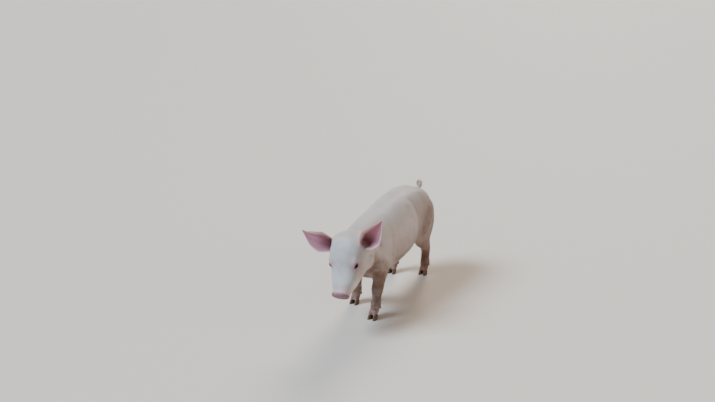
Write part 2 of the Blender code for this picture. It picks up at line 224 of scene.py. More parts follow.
def line_distance(points, line):
    """How far each point is from a bent line, and how far along the line its foot is, from 0 to 1."""
    line = np.array(line, float)
    ways = np.diff(line, axis=0)
    lengths = np.linalg.norm(ways, axis=1)
    starts = np.concatenate([[0], np.cumsum(lengths)])
    best = np.full(len(points), 1e9)
    along = np.zeros(len(points))
    for start, way, length, before in zip(line, ways, lengths, starts):
        t = np.clip((points - start) @ way / length**2, 0, 1)
        distance = np.linalg.norm(points - start - t[:, None] * way, axis=1)
        nearer = distance < best
        best[nearer] = distance[nearer]
        along[nearer] = (before + t * length)[nearer] / starts[-1]
    return best, along


def distances(points, place):
    """How far each point is from a place."""
    return np.linalg.norm(points - np.array(place), axis=1)


def nearest_distance(points, places):
    """How far each point is from the nearest of the places."""
    return np.min([distances(points, place) for place in places], axis=0)


def unit(rows):
    """The rows as directions of length 1."""
    return rows / np.maximum(np.linalg.norm(rows, axis=1), 1e-6)[:, None]


def dots(rows, others):
    """Each row's dot product with its partner."""
    return (rows * others).sum(axis=1)


def highest(*fields):
    """The highest of the fields at each point."""
    return np.maximum.reduce(fields)


def square_to(rows, others):
    """The rows, turned square to the others, as directions of length 1."""
    return unit(rows - others * dots(rows, others)[:, None])


def arrays(vectors):
    return [np.array(vector) for vector in vectors]


def moved_by(points, matrix):
    matrix = np.array(matrix)
    return points @ matrix[:3, :3].T + matrix[:3, 3]


def to_head(points):
    """The points in the head's own axes."""
    return moved_by(points, HEAD.inverted())


def through(keys, steps):
    """Rows of numbers on a smooth curve through the keys, with this many steps from key to key."""
    keys = np.array(keys, float)
    padded = np.vstack([2 * keys[0] - keys[1], keys, 2 * keys[-1] - keys[-2]])
    rows = []
    for a, b, c, d in zip(padded, padded[1:], padded[2:], padded[3:]):
        for t in np.arange(steps) / steps:
            row = 2 * b + (c - a) * t + (2 * a - 5 * b + 4 * c - d) * t**2
            rows.append((row + (3 * b - a - 3 * c + d) * t**3) / 2)
    rows.append(keys[-1])
    return np.array(rows)


# ---------------------------------------------------------------- the skin's ground shape


def welded_copy(node, grow):
    """A node's vertices, grown outwards, and its faces, with shared corners made one."""
    mesh = bmesh.new()
    mesh.from_mesh(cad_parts[node].data)
    bmesh.ops.remove_doubles(mesh, verts=mesh.verts, dist=1e-5)
    mesh.normal_update()
    vertices = [v.co + v.normal * grow for v in mesh.verts]
    mesh.verts.index_update()
    faces = [[v.index for v in face.verts] for face in mesh.faces]
    mesh.free()
    return vertices, faces


def keep_largest_island(mesh):
    """Removes what the remeshing left inside the skin."""
    mesh.verts.ensure_lookup_table()
    seen = set()
    islands = []
    for start in mesh.verts:
        if start in seen:
            continue
        seen.add(start)
        island = [start]
        for vertex in island:
            for edge in vertex.link_edges:
                other = edge.other_vert(vertex)
                if other not in seen:
                    seen.add(other)
                    island.append(other)
        islands.append(island)
    islands.sort(key=len)
    for island in islands[:-1]:
        bmesh.ops.delete(mesh, geom=island, context="VERTS")


def ground_skin():
    """The flesh, and the eyes and the claws' tops under it, remeshed into one smooth closed surface."""
    vertices, faces = [], []
    claws = [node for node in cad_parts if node.startswith("claw_")]
    for node in FLESH + ["eye_left", "eye_right"] + claws:
        found, found_faces = welded_copy(node, CORONET if node in claws else BRIDGE)
        if node in claws:
            for vertex in found:
                vertex.z = max(vertex.z, CLAW_COVERED)
        start = len(vertices)
        vertices += found
        faces += [[start + index for index in face] for face in found_faces]
    skin = new_object("skin", mesh_of("skin", vertices, faces))
    melt(skin, VOXEL)
    edit_mesh(skin.data, keep_largest_island)
    points, edges = points_of(skin.data), edges_of(skin.data)
    points = smoothed(points, edges, SMOOTH_ROUNDS)
    along_head = to_head(points)[:, 1]
    nape = ramp(along_head, -0.070, -0.025) * ramp(along_head, 0.090, 0.040) * ramp(points[:, 2], 0.20, 0.26)
    points = smoothed(points, edges, NAPE_ROUNDS, nape * EASE, push=0.0)
    points = smoothed(points, edges, FOOT_ROUNDS, ramp(points[:, 2], 0.045, 0.030), push=0.0)
    put_points(skin.data, points)
    put_points(skin.data, points - normals_of(skin.data) * (COAT_DEPTH + BRIDGE))
    return skin


# ---------------------------------------------------------------- ears and tail, grown into the skin

HEAD_SIZE = 1.12
LIFE = HEAD_SCALE / HEAD_SIZE  # the ears' and the tail's sizes are told apart from the head's

# An ear: its root in the head's axes; the way its tip lies, the way it opens and how its tip bends, in the
# world's axes.
Ear = namedtuple("Ear", "root reach opening bend")

EARS = {
    "left": Ear((0.083, -0.024, 0.041), (0.072, 0.006, 0.098), (0.52, -0.80, 0.26), (0.006, 0.004, 0.014)),
    "right": Ear((-0.072, -0.036, 0.025), (-0.170, -0.048, 0.034), (0.44, -0.86, 0.16), (0, 0, 0.026)),
}

# From root to tip: how far along, half the ear's width laid flat, and how far each half is rolled.
EAR_LEAF = [
    (0.00, 0.031, 2.20),
    (0.16, 0.053, 1.60),
    (0.34, 0.062, 1.15),
    (0.50, 0.057, 0.95),
    (0.66, 0.043, 0.85),
    (0.80, 0.026, 0.80),
    (0.91, 0.012, 0.80),
    (1.00, 0.003, 0.80),
]
EAR_THICKNESS = 0.0034
EAR_ACROSS, EAR_STEPS = 36, 7  # points from rim to rim, and steps from one row above to the next

CANAL_ALONG, CANAL_OUT = 0.014, 0.013  # where the ear opens into the head, from its root
CANAL_DEPTH, CANAL_WIDTH = 0.017, 0.022

TAIL_THICK, TAIL_THIN = 0.0082, 0.0034
TAIL_AROUND, TAIL_STEPS = 14, 4


def ear_axes(ear):
    """The ear's length, width and opening directions."""
    up = Vector(ear.reach).normalized()
    opening = Vector(ear.opening)
    opening = (opening - up * opening.dot(up)).normalized()
    return up, up.cross(opening), opening


def ear_point(ear, t, half, roll, s, lift):
    """A point of the ear's leaf: t from root to tip, s from rim to rim, lift out of the leaf's middle."""
    up, wide, opening = ear_axes(ear)
    radius = half / roll
    angle = s * roll
    bend = radius - lift
    sunk = t - (0.09 + 0.11 * s * s) * (1 - t) ** 4
    middle = up * Vector(ear.reach).length * sunk + opening * (0.010 * t - 0.030 * t**2)
    middle += Vector(ear.bend) * (max(0.0, t - 0.55) / 0.45) ** 2
    place = middle + wide * bend * sin(angle) + opening * (radius - bend * cos(angle))
    return HEAD @ Vector(ear.root) + place * LIFE


def ear_surface(side):
    """The leaf's rings of points, and for each point its t and s, as in ear_point, and the way inwards."""
    ear = EARS[side]
    near_edge = -SIDES[side]  # which rim lies nearer the head's middle
    _, wide, opening = ear_axes(ear)
    vertices, places = [], []
    for t, half, roll in through(EAR_LEAF, EAR_STEPS):
        half *= 1 + 0.022 * sin(19 * t) * sin(pi * t)
        for face in (1, -1):
            for s in np.linspace(-1, 1, EAR_ACROSS)[::face]:
                round_off = (1 - s**2) ** 0.5
                bead = (0.8 + 0.8 * (s * near_edge > 0)) * bump(abs(s) - 0.86, 0.14) * (1 - t)
                thick = EAR_THICKNESS * (1 - 0.50 * t) * (0.10 + 0.90 * round_off**0.7) * (0.72 + bead) / 2
                ridges = 0.0013 * sin(pi * min(1, 1.5 * (1 - t))) * cos(3.4 * pi * s) * round_off
                lift = -face * thick + ridges
                vertices.append(ear_point(ear, t, half, roll, s, lift))
                places.append((t, s, *(opening * cos(s * roll) - wide * sin(s * roll))))
    return vertices, places


def ear_mesh(side):
    """A curled leaf with a round rim: rolled into a tube at its root, ridged inside, its tip bent."""
    vertices, _ = ear_surface(side)
    ring_size = 2 * EAR_ACROSS
    faces = ring_faces(len(vertices) // ring_size, ring_size)
    end = len(vertices) - ring_size
    for k in range(EAR_ACROSS - 1):
        faces.append((k, ring_size - 1 - k, ring_size - 2 - k, k + 1))
        faces.append((end + k, end + k + 1, end + ring_size - 2 - k, end + ring_size - 1 - k))
    return closed_mesh("ear", vertices, faces)


def tail_line():
    """The tail's middle line, as the solid's: up from the rump and once round on itself."""
    low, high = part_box("tail")
    loop = Vector((0.0115, 0.018, 0.0180))
    line = [Vector((0, 0, 0)), Vector((0, 0.018, 0.014)), Vector((0, 0.032, 0.026))]
    start = line[-1] + Vector((0, 0.004, loop.z + 0.003))
    for turn in np.linspace(0.35, 2 * pi * 1.02, 16):
        out, back, rise = sin(turn), turn / (2 * pi), -cos(turn)
        line.append(start + Vector((out * loop.x, back * loop.y, rise * loop.z)))
    line = np.array(line) * LIFE
    reach = TAIL_THICK * 0.7 * LIFE
    back = high.y - line[:, 1].max() - reach * 0.5
    top = high.z - line[:, 2].max() - reach
    return through(line + np.array(((low.x + high.x) / 2, back, top)), TAIL_STEPS)


def tail_mesh():
    """A tube round the tail's line, thinner towards its end and closed at both ends."""
    line = tail_line()
    along = np.linspace(0, 1, len(line))
    radii = (TAIL_THICK + (TAIL_THIN - TAIL_THICK) * along) * (1 - 0.6 * ramp(along, 0.94, 1.0)) * LIFE
    across = Vector((1, 0, 0))
    vertices = []
    for middle, way, radius in zip(line, np.gradient(line, axis=0), radii):
        way = Vector(way).normalized()
        across = (across - way * across.dot(way)).normalized()
        other = way.cross(across)
        for angle in np.arange(TAIL_AROUND) * 2 * pi / TAIL_AROUND:
            vertices.append(Vector(middle) + (across * cos(angle) + other * sin(angle)) * radius)
    faces = ring_faces(len(line), TAIL_AROUND)
    faces.append(tuple(range(TAIL_AROUND)))
    faces.append(tuple(range(len(vertices) - TAIL_AROUND, len(vertices))))
    return closed_mesh("tail", vertices, faces)


def grow_in(skin, data):
    """Joins a closed mesh with the skin."""
    other = new_object("grown", data)
    union = skin.modifiers.new("union", "BOOLEAN")
    union.operation = "UNION"
    union.object = other
    settle(skin)
    bpy.data.objects.remove(other)


def canal_place(side):
    """The middle of the ear's opening, where it leads into the head."""
    ear = EARS[side]
    up, _, opening = ear_axes(ear)
    return HEAD @ Vector(ear.root) + (up * CANAL_ALONG + opening * CANAL_OUT) * LIFE


def canal_distance(points):
    """How far each point is from the nearer ear's opening."""
    return nearest_distance(points, [canal_place(side) for side in SIDES])


def open_ears(skin):
    """Sinks the skin at the bottom of each ear's cup, into the canal."""
    points = points_of(skin.data)
    for side in SIDES:
        up, _, opening = ear_axes(EARS[side])
        into = -(up * 0.75 + opening * 0.65).normalized()
        sunk = CANAL_DEPTH * bump(distances(points, canal_place(side)), CANAL_WIDTH)
        points += sunk[:, None] * np.array(into)
    put_points(skin.data, points)


def ease_roots(skin):
    """Rounds the creases where the ears and the tail leave the body, and the ears' openings."""
    points, edges = points_of(skin.data), edges_of(skin.data)
    at_ears = ramp(nearest_distance(points, [HEAD @ Vector(ear.root) for ear in EARS.values()]), 0.050, 0.034)
    at_tail = ramp(distances(points, tail_line()[0]), 0.026, 0.014)
    points = smoothed(points, edges, ROOT_ROUNDS, highest(at_ears, at_tail) * EASE, push=0.0)
    at_canals = ramp(canal_distance(points), 0.030, 0.018)
    points = smoothed(points, edges, CANAL_ROUNDS, at_canals * EASE, push=0.0)
    put_points(skin.data, points)


# ---------------------------------------------------------------- finer faces where they are needed

REFINE_ROUNDS = 3
# How far finer faces reach round the teats, ears' openings, eyes and nostrils.
TEAT_REACH = 0.012
EAR_REACH, FINE_EAR_REACH = 0.036, 0.024
EYE_REACH, FINE_EYE_REACH = 2.3 * EYE_RADIUS, 1.25 * EYE_RADIUS
NOSTRIL_REACH = 0.0135
HEAD_BACK, SNOUT_BACK = -0.062, -0.232  # where the finer faces end, along the head


def refine_where(skin, find_mask):
    """Divides the faces in a region into four, and rounds off their new corners."""
    mask = find_mask(points_of(skin.data))

    def divide(mesh):
        faces = [face for face in mesh.faces if all(mask[v.index] for v in face.verts)]
        edges = {edge for face in faces for edge in face.edges}
        bmesh.ops.subdivide_edges(mesh, edges=list(edges), cuts=1, use_grid_fill=True)

    edit_mesh(skin.data, divide)
    points = points_of(skin.data)
    weight = find_mask(points).astype(float)
    put_points(skin.data, smoothed(points, edges_of(skin.data), REFINE_ROUNDS, weight))


def head_region(points):
    """The head's front half, the ears' openings, and the belly where its teats are."""
    near_teat = nearest_distance(points[:, :2], teat_places()) < TEAT_REACH
    in_ear = canal_distance(points) < EAR_REACH
    return (to_head(points)[:, 1] < HEAD_BACK) | (near_teat & (points[:, 2] < BELLY_TOP)) | in_ear


def face_detail_region(points):
    """Round the eyes, over the snout and in the ears' openings."""
    near_eye = nearest_distance(points, EYES.values()) < EYE_REACH
    return near_eye | (to_head(points)[:, 1] < SNOUT_BACK) | (canal_distance(points) < FINE_EAR_REACH)


def finest_region(points):
    """Close round the eyes and the nostrils."""
    nostrils = [(sign * NOSTRIL_PLACE.x, NOSTRIL_PLACE.y, NOSTRIL_PLACE.z) for sign in SIDES.values()]
    near_eye = nearest_distance(points, EYES.values()) < FINE_EYE_REACH
    return near_eye | (nearest_distance(to_head(points), nostrils) < NOSTRIL_REACH)


# ---------------------------------------------------------------- the face

# The mouth from the snout to its corner, and the creases behind it as (line, depth, half width), in (y, z).
MOUTH = [
    (-0.264, -0.0310),
    (-0.235, -0.0315),
    (-0.205, -0.0340),
    (-0.175, -0.0365),
    (-0.150, -0.0350),
    (-0.130, -0.0265),
]
CREASES = (
    ([(-0.131, -0.028), (-0.121, -0.040), (-0.117, -0.056)], 0.0013, 0.0040),
    ([(-0.140, -0.046), (-0.128, -0.060), (-0.122, -0.074)], 0.0008, 0.0040),
    ([(-0.165, 0.006), (-0.140, -0.002), (-0.112, 0.000)], 0.0008, 0.0050),
    ([(-0.104, -0.018), (-0.092, -0.040), (-0.090, -0.066)], 0.0012, 0.0060),
    ([(-0.072, 0.010), (-0.058, -0.022), (-0.058, -0.058)], 0.0012, 0.0065),
)
FACE_BACK = -0.04  # along the head, where the face's carving ends
LID = 0.0012  # how thick the lids stand over the eye
EYE_OPEN, UPPER_LID, LOWER_LID = 0.90, 0.50, 0.36  # the opening's half length and heights, in eye radii

# Folds round the eye, in eye radii: over it or not, how far from the opening, depth, half width, and where it
# starts and is whole, from the eye's middle.
EYE_FOLDS = (
    (True, 0.36, 0.085, 0.13, 1.25, 0.7),
    (True, 0.72, 0.055, 0.14, 1.5, 0.8),
    (False, 0.34, 0.075, 0.12, 1.2, 0.6),
    (False, 0.66, 0.060, 0.14, 1.4, 0.7),
    (False, 1.02, 0.045, 0.16, 1.5, 0.8),
)
SNOUT_FOLDS = ((-0.2385, 0.0010), (-0.2290, 0.0008), (-0.2180, 0.0005))  # place along the head, and depth


def eye_axes(side, points, normals):
    """Out of the head, towards the nose and up, at an eye."""
    near = distances(points, EYES[side]) < 2.0 * EYE_RADIUS
    out = Vector(normals[near].mean(axis=0)).normalized()
    fore = HEAD_TURN @ Vector((0, -1, 0))
    fore = (fore - out * fore.dot(out)).normalized()
    up = fore.cross(out) * SIDES[side]
    return out, fore, up


def eye_plane(side, points, axes):
    """The points on the eye's own axes, in eye radii: towards the nose, up, out."""
    moved = (points - np.array(EYES[side])) / EYE_RADIUS
    out, fore, up = arrays(axes)
    return moved @ fore, moved @ up, moved @ out


def lid_gap(a, b):
    """How far a place is outside the opening between the lids; below 0 inside it."""
    arch = np.clip(1 - (a / EYE_OPEN) ** 2, 0, None) ** 0.75
    inside = np.maximum(b - UPPER_LID * arch, -LOWER_LID * arch - b)
    corner = np.hypot(np.abs(a) - EYE_OPEN, b)
    return np.where(np.abs(a) < EYE_OPEN, inside, corner)


def sculpt_eye(points, side, axes):
    """Lids round an almond opening, with folds over and under them."""
    a, b, c = eye_plane(side, points, axes)
    radius = np.hypot(a, b)
    front = (c > 0) & (radius < 3)
    ball = np.sqrt(np.clip((1 + LID / EYE_RADIUS) ** 2 - radius**2, 0, None))
    near = ramp(radius, 1.12, 0.75)
    covered = c + near * np.clip(ball - c, 0, None)
    gap = lid_gap(a, b)
    hollow = np.sqrt(np.clip(0.78**2 - radius**2, 0.01, None))
    opened = ramp(gap, 0.05, -0.05) * (radius < 0.97)
    height = covered + (np.minimum(hollow, covered) - covered) * opened
    # the lids' margins, the folds, and the swelling of the brow
    height += 0.05 * bump(gap - 0.10, 0.12)
    for over, place, depth, width, start, end in EYE_FOLDS:
        height -= depth * bump(gap - place, width) * ((b > 0) == over) * ramp(np.abs(a), start, end)
    height += 0.10 * bump(np.hypot(a / 1.3, b - 1.25), 0.55)
    move = np.where(front, height - c, 0) * EYE_RADIUS
    return points + move[:, None] * np.array(axes[0])


def sculpt_snout(local):
    """The flat disc with its rim, the nostrils, and the folds behind the rim.  Works on head axes."""
    x, y, z = local.T.copy()
    across = x / DISC_HALF[0]
    rise = (z - DISC_MIDDLE.z) / DISC_HALF[1]
    reach = np.hypot(across, rise)
    tip = ramp(y, -0.238, -0.252)
    flat = -0.2685 + 0.0035 * reach**2
    y = y + (flat - y) * 0.75 * ramp(reach, 1.02, 0.80) * ramp(y, -0.246, -0.256)
    # the rim stands out all round, most at the top; behind it runs a groove
    rim = 0.0014 * bump(reach - 1.02, 0.16) * (1 + 0.5 * ramp(rise, 0, 0.9)) * tip
    groove = -0.0016 * bump(y + 0.2485, 0.0048) * ramp(reach, 0.75, 0.95) * ramp(rise, -0.9, -0.3)
    folds = 0
    for place, depth in SNOUT_FOLDS:
        bent = place + 0.006 * (x / 0.04) ** 2
        folds = folds - depth * bump(y - bent, 0.0036) * ramp(z, 0.004, 0.022)
    outwards = unit(np.stack([across, np.zeros_like(x), rise], axis=1))
    moved = np.stack([x, y, z], axis=1) + outwards * (rim + groove + folds)[:, None]
    # a shallow cleft down from between the nostrils
    moved[:, 1] += 0.0009 * bump(x, 0.0030) * ramp(z, 0.006, -0.010) * ramp(reach, 1.15, 0.8) * tip
    facing = tip * ramp(reach, 1.15, 0.9)
    for sign in SIDES.values():
        dx = (x - sign * NOSTRIL_PLACE.x) / 0.0066
        dz = (z - NOSTRIL_PLACE.z) / 0.0080
        turn = sign * 0.35
        round_it = np.hypot(dx * cos(turn) + dz * sin(turn), (dz * cos(turn) - dx * sin(turn)))
        moved[:, 1] += facing * 0.0105 * ramp(round_it, 1.0, 0.45)
        moved[:, 1] -= facing * 0.0011 * bump(round_it - 1.28, 0.30)
        # the slit that runs out from the nostril's lower edge
        slit_line = [(sign * 0.0185, -0.001), (sign * 0.0245, -0.0075), (sign * 0.0280, -0.0165)]
        slit, _ = line_distance(np.stack([x, z], axis=1), slit_line)
        moved[:, 1] += facing * 0.0014 * bump(slit, 0.0022)
    return moved


def sculpt_mouth(local, normals_local):
    """The line of the mouth with a lip over and under it, and folds at its corner."""
    side_on = ramp(np.abs(normals_local[:, 0]), 0.10, 0.45)
    flat = local[:, 1:]
    distance, along = line_distance(flat, MOUTH)
    below = flat[:, 1] < np.interp(flat[:, 0], *zip(*MOUTH))
    front = ramp(local[:, 1], -0.243, -0.251)
    here = np.maximum(side_on, front) * ramp(along, 1.0, 0.93)
    amount = -0.0026 * bump(distance, 0.0021)
    amount += np.where(below, 0.0010, 0.0013) * bump(distance - 0.0052, 0.0042)
    amount *= here * (local[:, 2] < 0.0)
    for line, depth, width in CREASES:
        found, along = line_distance(flat, line)
        amount -= depth * bump(found, width) * side_on * ramp(np.abs(along - 0.5), 0.5, 0.3)
    return local + normals_local * amount[:, None]


def sculpt_face(skin):
    """Carves the face, and returns each eye's axes."""
    points, normals = points_of(skin.data), normals_of(skin.data)
    axes = {side: eye_axes(side, points, normals) for side in SIDES}
    for side in SIDES:
        points = sculpt_eye(points, side, axes[side])
    face = to_head(points)[:, 1] < FACE_BACK
    local = to_head(points[face])
    local = sculpt_mouth(local, normals[face] @ np.array(HEAD_TURN))
    points[face] = moved_by(sculpt_snout(local), HEAD)
    put_points(skin.data, points)
    return axes


# ---------------------------------------------------------------- the body's folds

BELLY_TOP = 0.25
TEATS = 6  # on each side
TEAT_START, TEAT_STEP, TEAT_SPREAD = -0.085, 0.058, 0.034

# A fold on the flanks as lines of (y, z): its depth (below 0 for a ridge) and half its width.
FLANK_FOLDS = (
    ([(0.128, 0.520), (0.150, 0.440), (0.168, 0.340), (0.172, 0.250)], -0.0022, 0.026),
    ([(0.165, 0.520), (0.192, 0.430), (0.206, 0.340), (0.206, 0.240)], 0.0038, 0.027),
    ([(0.176, 0.252), (0.200, 0.236), (0.226, 0.240)], 0.0020, 0.011),
    ([(-0.055, 0.440), (-0.064, 0.380), (-0.080, 0.310), (-0.090, 0.262)], 0.0024, 0.024),
    ([(-0.172, 0.400), (-0.182, 0.330), (-0.170, 0.270)], 0.0020, 0.014),
    ([(-0.088, 0.268), (-0.096, 0.236), (-0.112, 0.214)], 0.0032, 0.010),
    ([(-0.112, 0.254), (-0.130, 0.224)], 0.0018, 0.008),
    ([(0.395, 0.452), (0.412, 0.400), (0.420, 0.330)], 0.0022, 0.014),
    ([(0.250, 0.235), (0.262, 0.200), (0.282, 0.175)], 0.0018, 0.010),
)

# Folds round the neck and the feet: place, depth and half width.
NECK_FOLDS = ((0.010, 0.0020, 0.008), (0.030, 0.0016, 0.007), (0.052, 0.0020, 0.010))
FOOT_FOLDS = ((0.060, 0.0012, 0.006), (0.045, 0.0020, 0.006), (0.031, -0.0012, 0.006))


def teat_places():
    rows = [TEAT_START + TEAT_STEP * k for k in range(TEATS)]
    return [np.array((MIDLINE + side * TEAT_SPREAD, y)) for y in rows for side in SIDES.values()]


def wander(points, size):
    """A slow, smooth drift over the body, between about -1 and 1."""
    x, y, z = (points / size).T
    drift = 0.65 * np.sin(x + 1.7 * np.sin(y * 0.9 + z)) * np.cos(z * 1.1 - 0.6 * y)
    return drift + 0.35 * np.sin(2.3 * y + 1.9 * z)


def sculpt_body(skin):
    """Carves the folds of flank, neck and feet, the hams, the teats and the play of the muscles."""
    points, normals = points_of(skin.data), normals_of(skin.data)
    local = to_head(points)
    x, y, z = points.T
    sideways = x - MIDLINE
    off_head = ramp(local[:, 1], -0.010, 0.015)
    side_on = ramp(np.abs(normals[:, 0]), 0.25, 0.60)
    outside = ramp(np.abs(sideways), 0.055, 0.075)
    flat = points[:, 1:] + 0.004 * wander(points, 0.03)[:, None]
    amount = 0.0009 * wander(points, 0.052) * off_head + 0.0004 * wander(points[:, ::-1], 0.021) * off_head
    uneven = 1 + 0.3 * wander(points, 0.024)
    for line, depth, width in FLANK_FOLDS:
        distance, along = line_distance(flat, line)
        ends = ramp(np.abs(along - 0.5), 0.5, 0.32)
        amount -= depth * bump(distance, width) * ends * side_on * outside * off_head * uneven
    under = ramp(normals[:, 2], 0.55, 0.15)
    for place, depth, width in NECK_FOLDS:
        bent = local[:, 1] + 0.06 * np.clip(local[:, 2], -0.2, 0.1) + 0.003 * wander(points, 0.02)
        amount -= depth * bump(bent - place, width) * under * ramp(np.abs(local[:, 2] + 0.02), 0.11, 0.07)
    # the shoulder, and the groove along the loin
    shoulder = np.hypot((y + 0.125) / 0.050, (z - 0.375) / 0.075)
    amount += 0.0028 * bump(shoulder, 1.0) * side_on * off_head
    amount -= 0.0016 * bump(sideways, 0.016) * ramp(normals[:, 2], 0.7, 0.95) * ramp(y, -0.05, 0.05)
    # between the hams, and under the tail
    behind = ramp(normals[:, 1], 0.15, 0.60) * ramp(y, 0.30, 0.36)
    cleft = bump(sideways, 0.013) * ramp(z, 0.455, 0.410) * ramp(z, 0.19, 0.24)
    amount -= 0.0065 * cleft * behind
    for sign in SIDES.values():
        ham = np.hypot((sideways - sign * 0.052) / 0.030, (z - 0.35) / 0.07)
        amount += 0.0022 * bump(ham, 1.0) * behind
    belly = ramp(normals[:, 2], -0.55, -0.9) * (z < BELLY_TOP)
    amount -= 0.0012 * bump(sideways, 0.010) * belly * ramp(y, -0.10, -0.07)
    feet = z < 0.085
    for place, depth, width in FOOT_FOLDS:
        amount[feet] -= depth * bump(z[feet] - place + 0.002 * np.sin(y[feet] * 160), width)
    points = points + normals * amount[:, None]
    for place in teat_places():
        distance = distances(points[:, :2], place)
        points[:, 2] -= (0.0052 * bump(distance, 0.0030) + 0.0010 * bump(distance, 0.008)) * belly
    put_points(skin.data, points)


def make_skin():
    """The sculpted skin, and each eye's axes.

    The thin ears and tail are grown in last, so that no carving pushes their two faces through each other.
    """
    skin = ground_skin()
    for region in (head_region, face_detail_region, finest_region):
        refine_where(skin, region)
    eye_frames = sculpt_face(skin)
    sculpt_body(skin)
    for side in SIDES:
        grow_in(skin, ear_mesh(side))
    grow_in(skin, tail_mesh())
    open_ears(skin)
    ease_roots(skin)
    return skin, eye_frames


# ---------------------------------------------------------------- eyes and claws

CORNEA_REACH, CORNEA_RISE = 0.62, 0.055  # in eye radii
CLAW_ROUNDS = 14
RESTING = 0.0008  # a claw's points this near its lowest rest on the floor


def eye_piece(side, axes):
    """An eyeball whose cornea stands out a little over the iris."""
    out = axes[0]
    mesh = bmesh.new()
    bmesh.ops.create_uvsphere(mesh, u_segments=48, v_segments=32, radius=EYE_RADIUS * 0.985)
    turn = out.to_track_quat("Z", "Y").to_matrix()
    for vertex in mesh.verts:
        place = vertex.co
        reach = (place.x**2 + place.y**2) ** 0.5 / EYE_RADIUS
        if place.z > 0 and reach < CORNEA_REACH:
            place.z += EYE_RADIUS * CORNEA_RISE * (1 - (reach / CORNEA_REACH) ** 2)
        vertex.co = turn @ place + EYES[side]
    data = bpy.data.meshes.new("eye")
    mesh.to_mesh(data)
    mesh.free()
    data.shade_smooth()
    moved = points_of(data) - np.array(EYES[side])
    from_axis = np.linalg.norm(np.cross(moved / EYE_RADIUS, np.array(out)), axis=1)
    add_values(data, "reach", np.where(moved @ np.array(out) > 0, from_axis, 1.0))
    return new_object("eyeball_" + side, data)


def claw_piece(node):
    """The node's faceted solid rounded off, with faint growth rings and, on a claw, its sole left flat."""
    vertices, faces = welded_copy(node, 0)
    if node.startswith("claw_"):
        middle = sum(vertices, Vector()) / len(vertices)
        for vertex in vertices:
            tuck = 0.30 * min(1.0, max(0.0, (vertex.z - 0.018) / 0.012))
            vertex.xy += (middle.xy - vertex.xy) * tuck
            vertex.z -= 0.0025 * tuck
    claw = new_object("horn_" + node, mesh_of(node, vertices, faces))
    melt(claw, CLAW_VOXEL)
    points, edges = points_of(claw.data), edges_of(claw.data)
    sole = points[:, 2].min()
    on_floor = sole < 0.002
    resting = (points[:, 2] < sole + RESTING) & on_floor
    points = smoothed(points, edges, CLAW_ROUNDS, np.where(resting, 0.0, 1.0))
    points[resting, 2] = sole
    put_points(claw.data, points)
    height = points[:, 2] - sole
    rings = 0.00010 * np.sin(height * 1500) * ramp(height, 0.003, 0.008)
    put_points(claw.data, points + normals_of(claw.data) * (rings - 0.0001)[:, None] * ~resting[:, None])
    claw.data.shade_smooth()
    return claw


# ---------------------------------------------------------------- materials


class Nodes:
    """Short names for the nodes of one material."""

    def __init__(self, material):
        self.tree = material.node_tree
        self.shader = next(n for n in self.tree.nodes if n.type == "BSDF_PRINCIPLED")

    def give(self, node, sockets):
        """Links a socket's value, or sets it."""
        for key, value in sockets.items():
            if isinstance(value, bpy.types.NodeSocket):
                self.tree.links.new(value, node.inputs[key])
            else:
                node.inputs[key].default_value = value

    def shade(self, sockets):
        self.give(self.shader, sockets)

    def scatter(self, weight, radius, scale):
        """How light scatters under the surface."""
        self.shade({"Subsurface Weight": weight, "Subsurface Radius": radius, "Subsurface Scale": scale})

    def make(self, kind, sockets, **settings):
        """A new node's outputs."""
        node = self.tree.nodes.new("ShaderNode" + kind)
        for key, value in settings.items():
            setattr(node, key, value)
        self.give(node, sockets)
        return node.outputs

    def attribute(self, name):
        return self.make("Attribute", {}, attribute_name=name)["Fac"]

    def noise(self, scale, detail=2.0):
        place = self.make("TexCoord", {})["Object"]
        sockets = {"Vector": place, "Scale": scale, "Detail": detail, "Roughness": 0.55}
        return self.make("TexNoise", sockets)["Fac"]

    def cells(self, scale):
        place = self.make("TexCoord", {})["Object"]
        return self.make("TexVoronoi", {"Vector": place, "Scale": scale})["Distance"]

    def range(self, value, low, high, to_low=0.0, to_high=1.0):
        sockets = {"Value": value, "From Min": low, "From Max": high, "To Min": to_low, "To Max": to_high}
        return self.make("MapRange", sockets, interpolation_type="SMOOTHSTEP")["Result"]

    def math(self, kind, a, b):
        return self.make("Math", {0: a, 1: b}, operation=kind)["Value"]

    def mix(self, factor, a, b):
        return self.make("Mix", {"Factor": factor, "A": a, "B": b}, data_type="RGBA")["Result"]

    def times(self, a, b):
        return self.math("MULTIPLY", a, b)

    def plus(self, a, b):
        return self.math("ADD", a, b)

    def raised(self, height, distance, on=None):
        sockets = {"Distance": distance, "Strength": 0.5, "Height": height}
        if on is not None:
            sockets["Normal"] = on
        return self.make("Bump", sockets)["Normal"]


def linear(red, green, blue):
    """A screen colour as the shader takes it."""
    return (*(((c / 255 + 0.055) / 1.055) ** 2.4 for c in (red, green, blue)), 1.0)


def new_material(name, roughness):
    material = bpy.data.materials.new(name)
    material.use_nodes = True
    nodes = Nodes(material)
    nodes.shade({"Roughness": roughness})
    return material, nodes


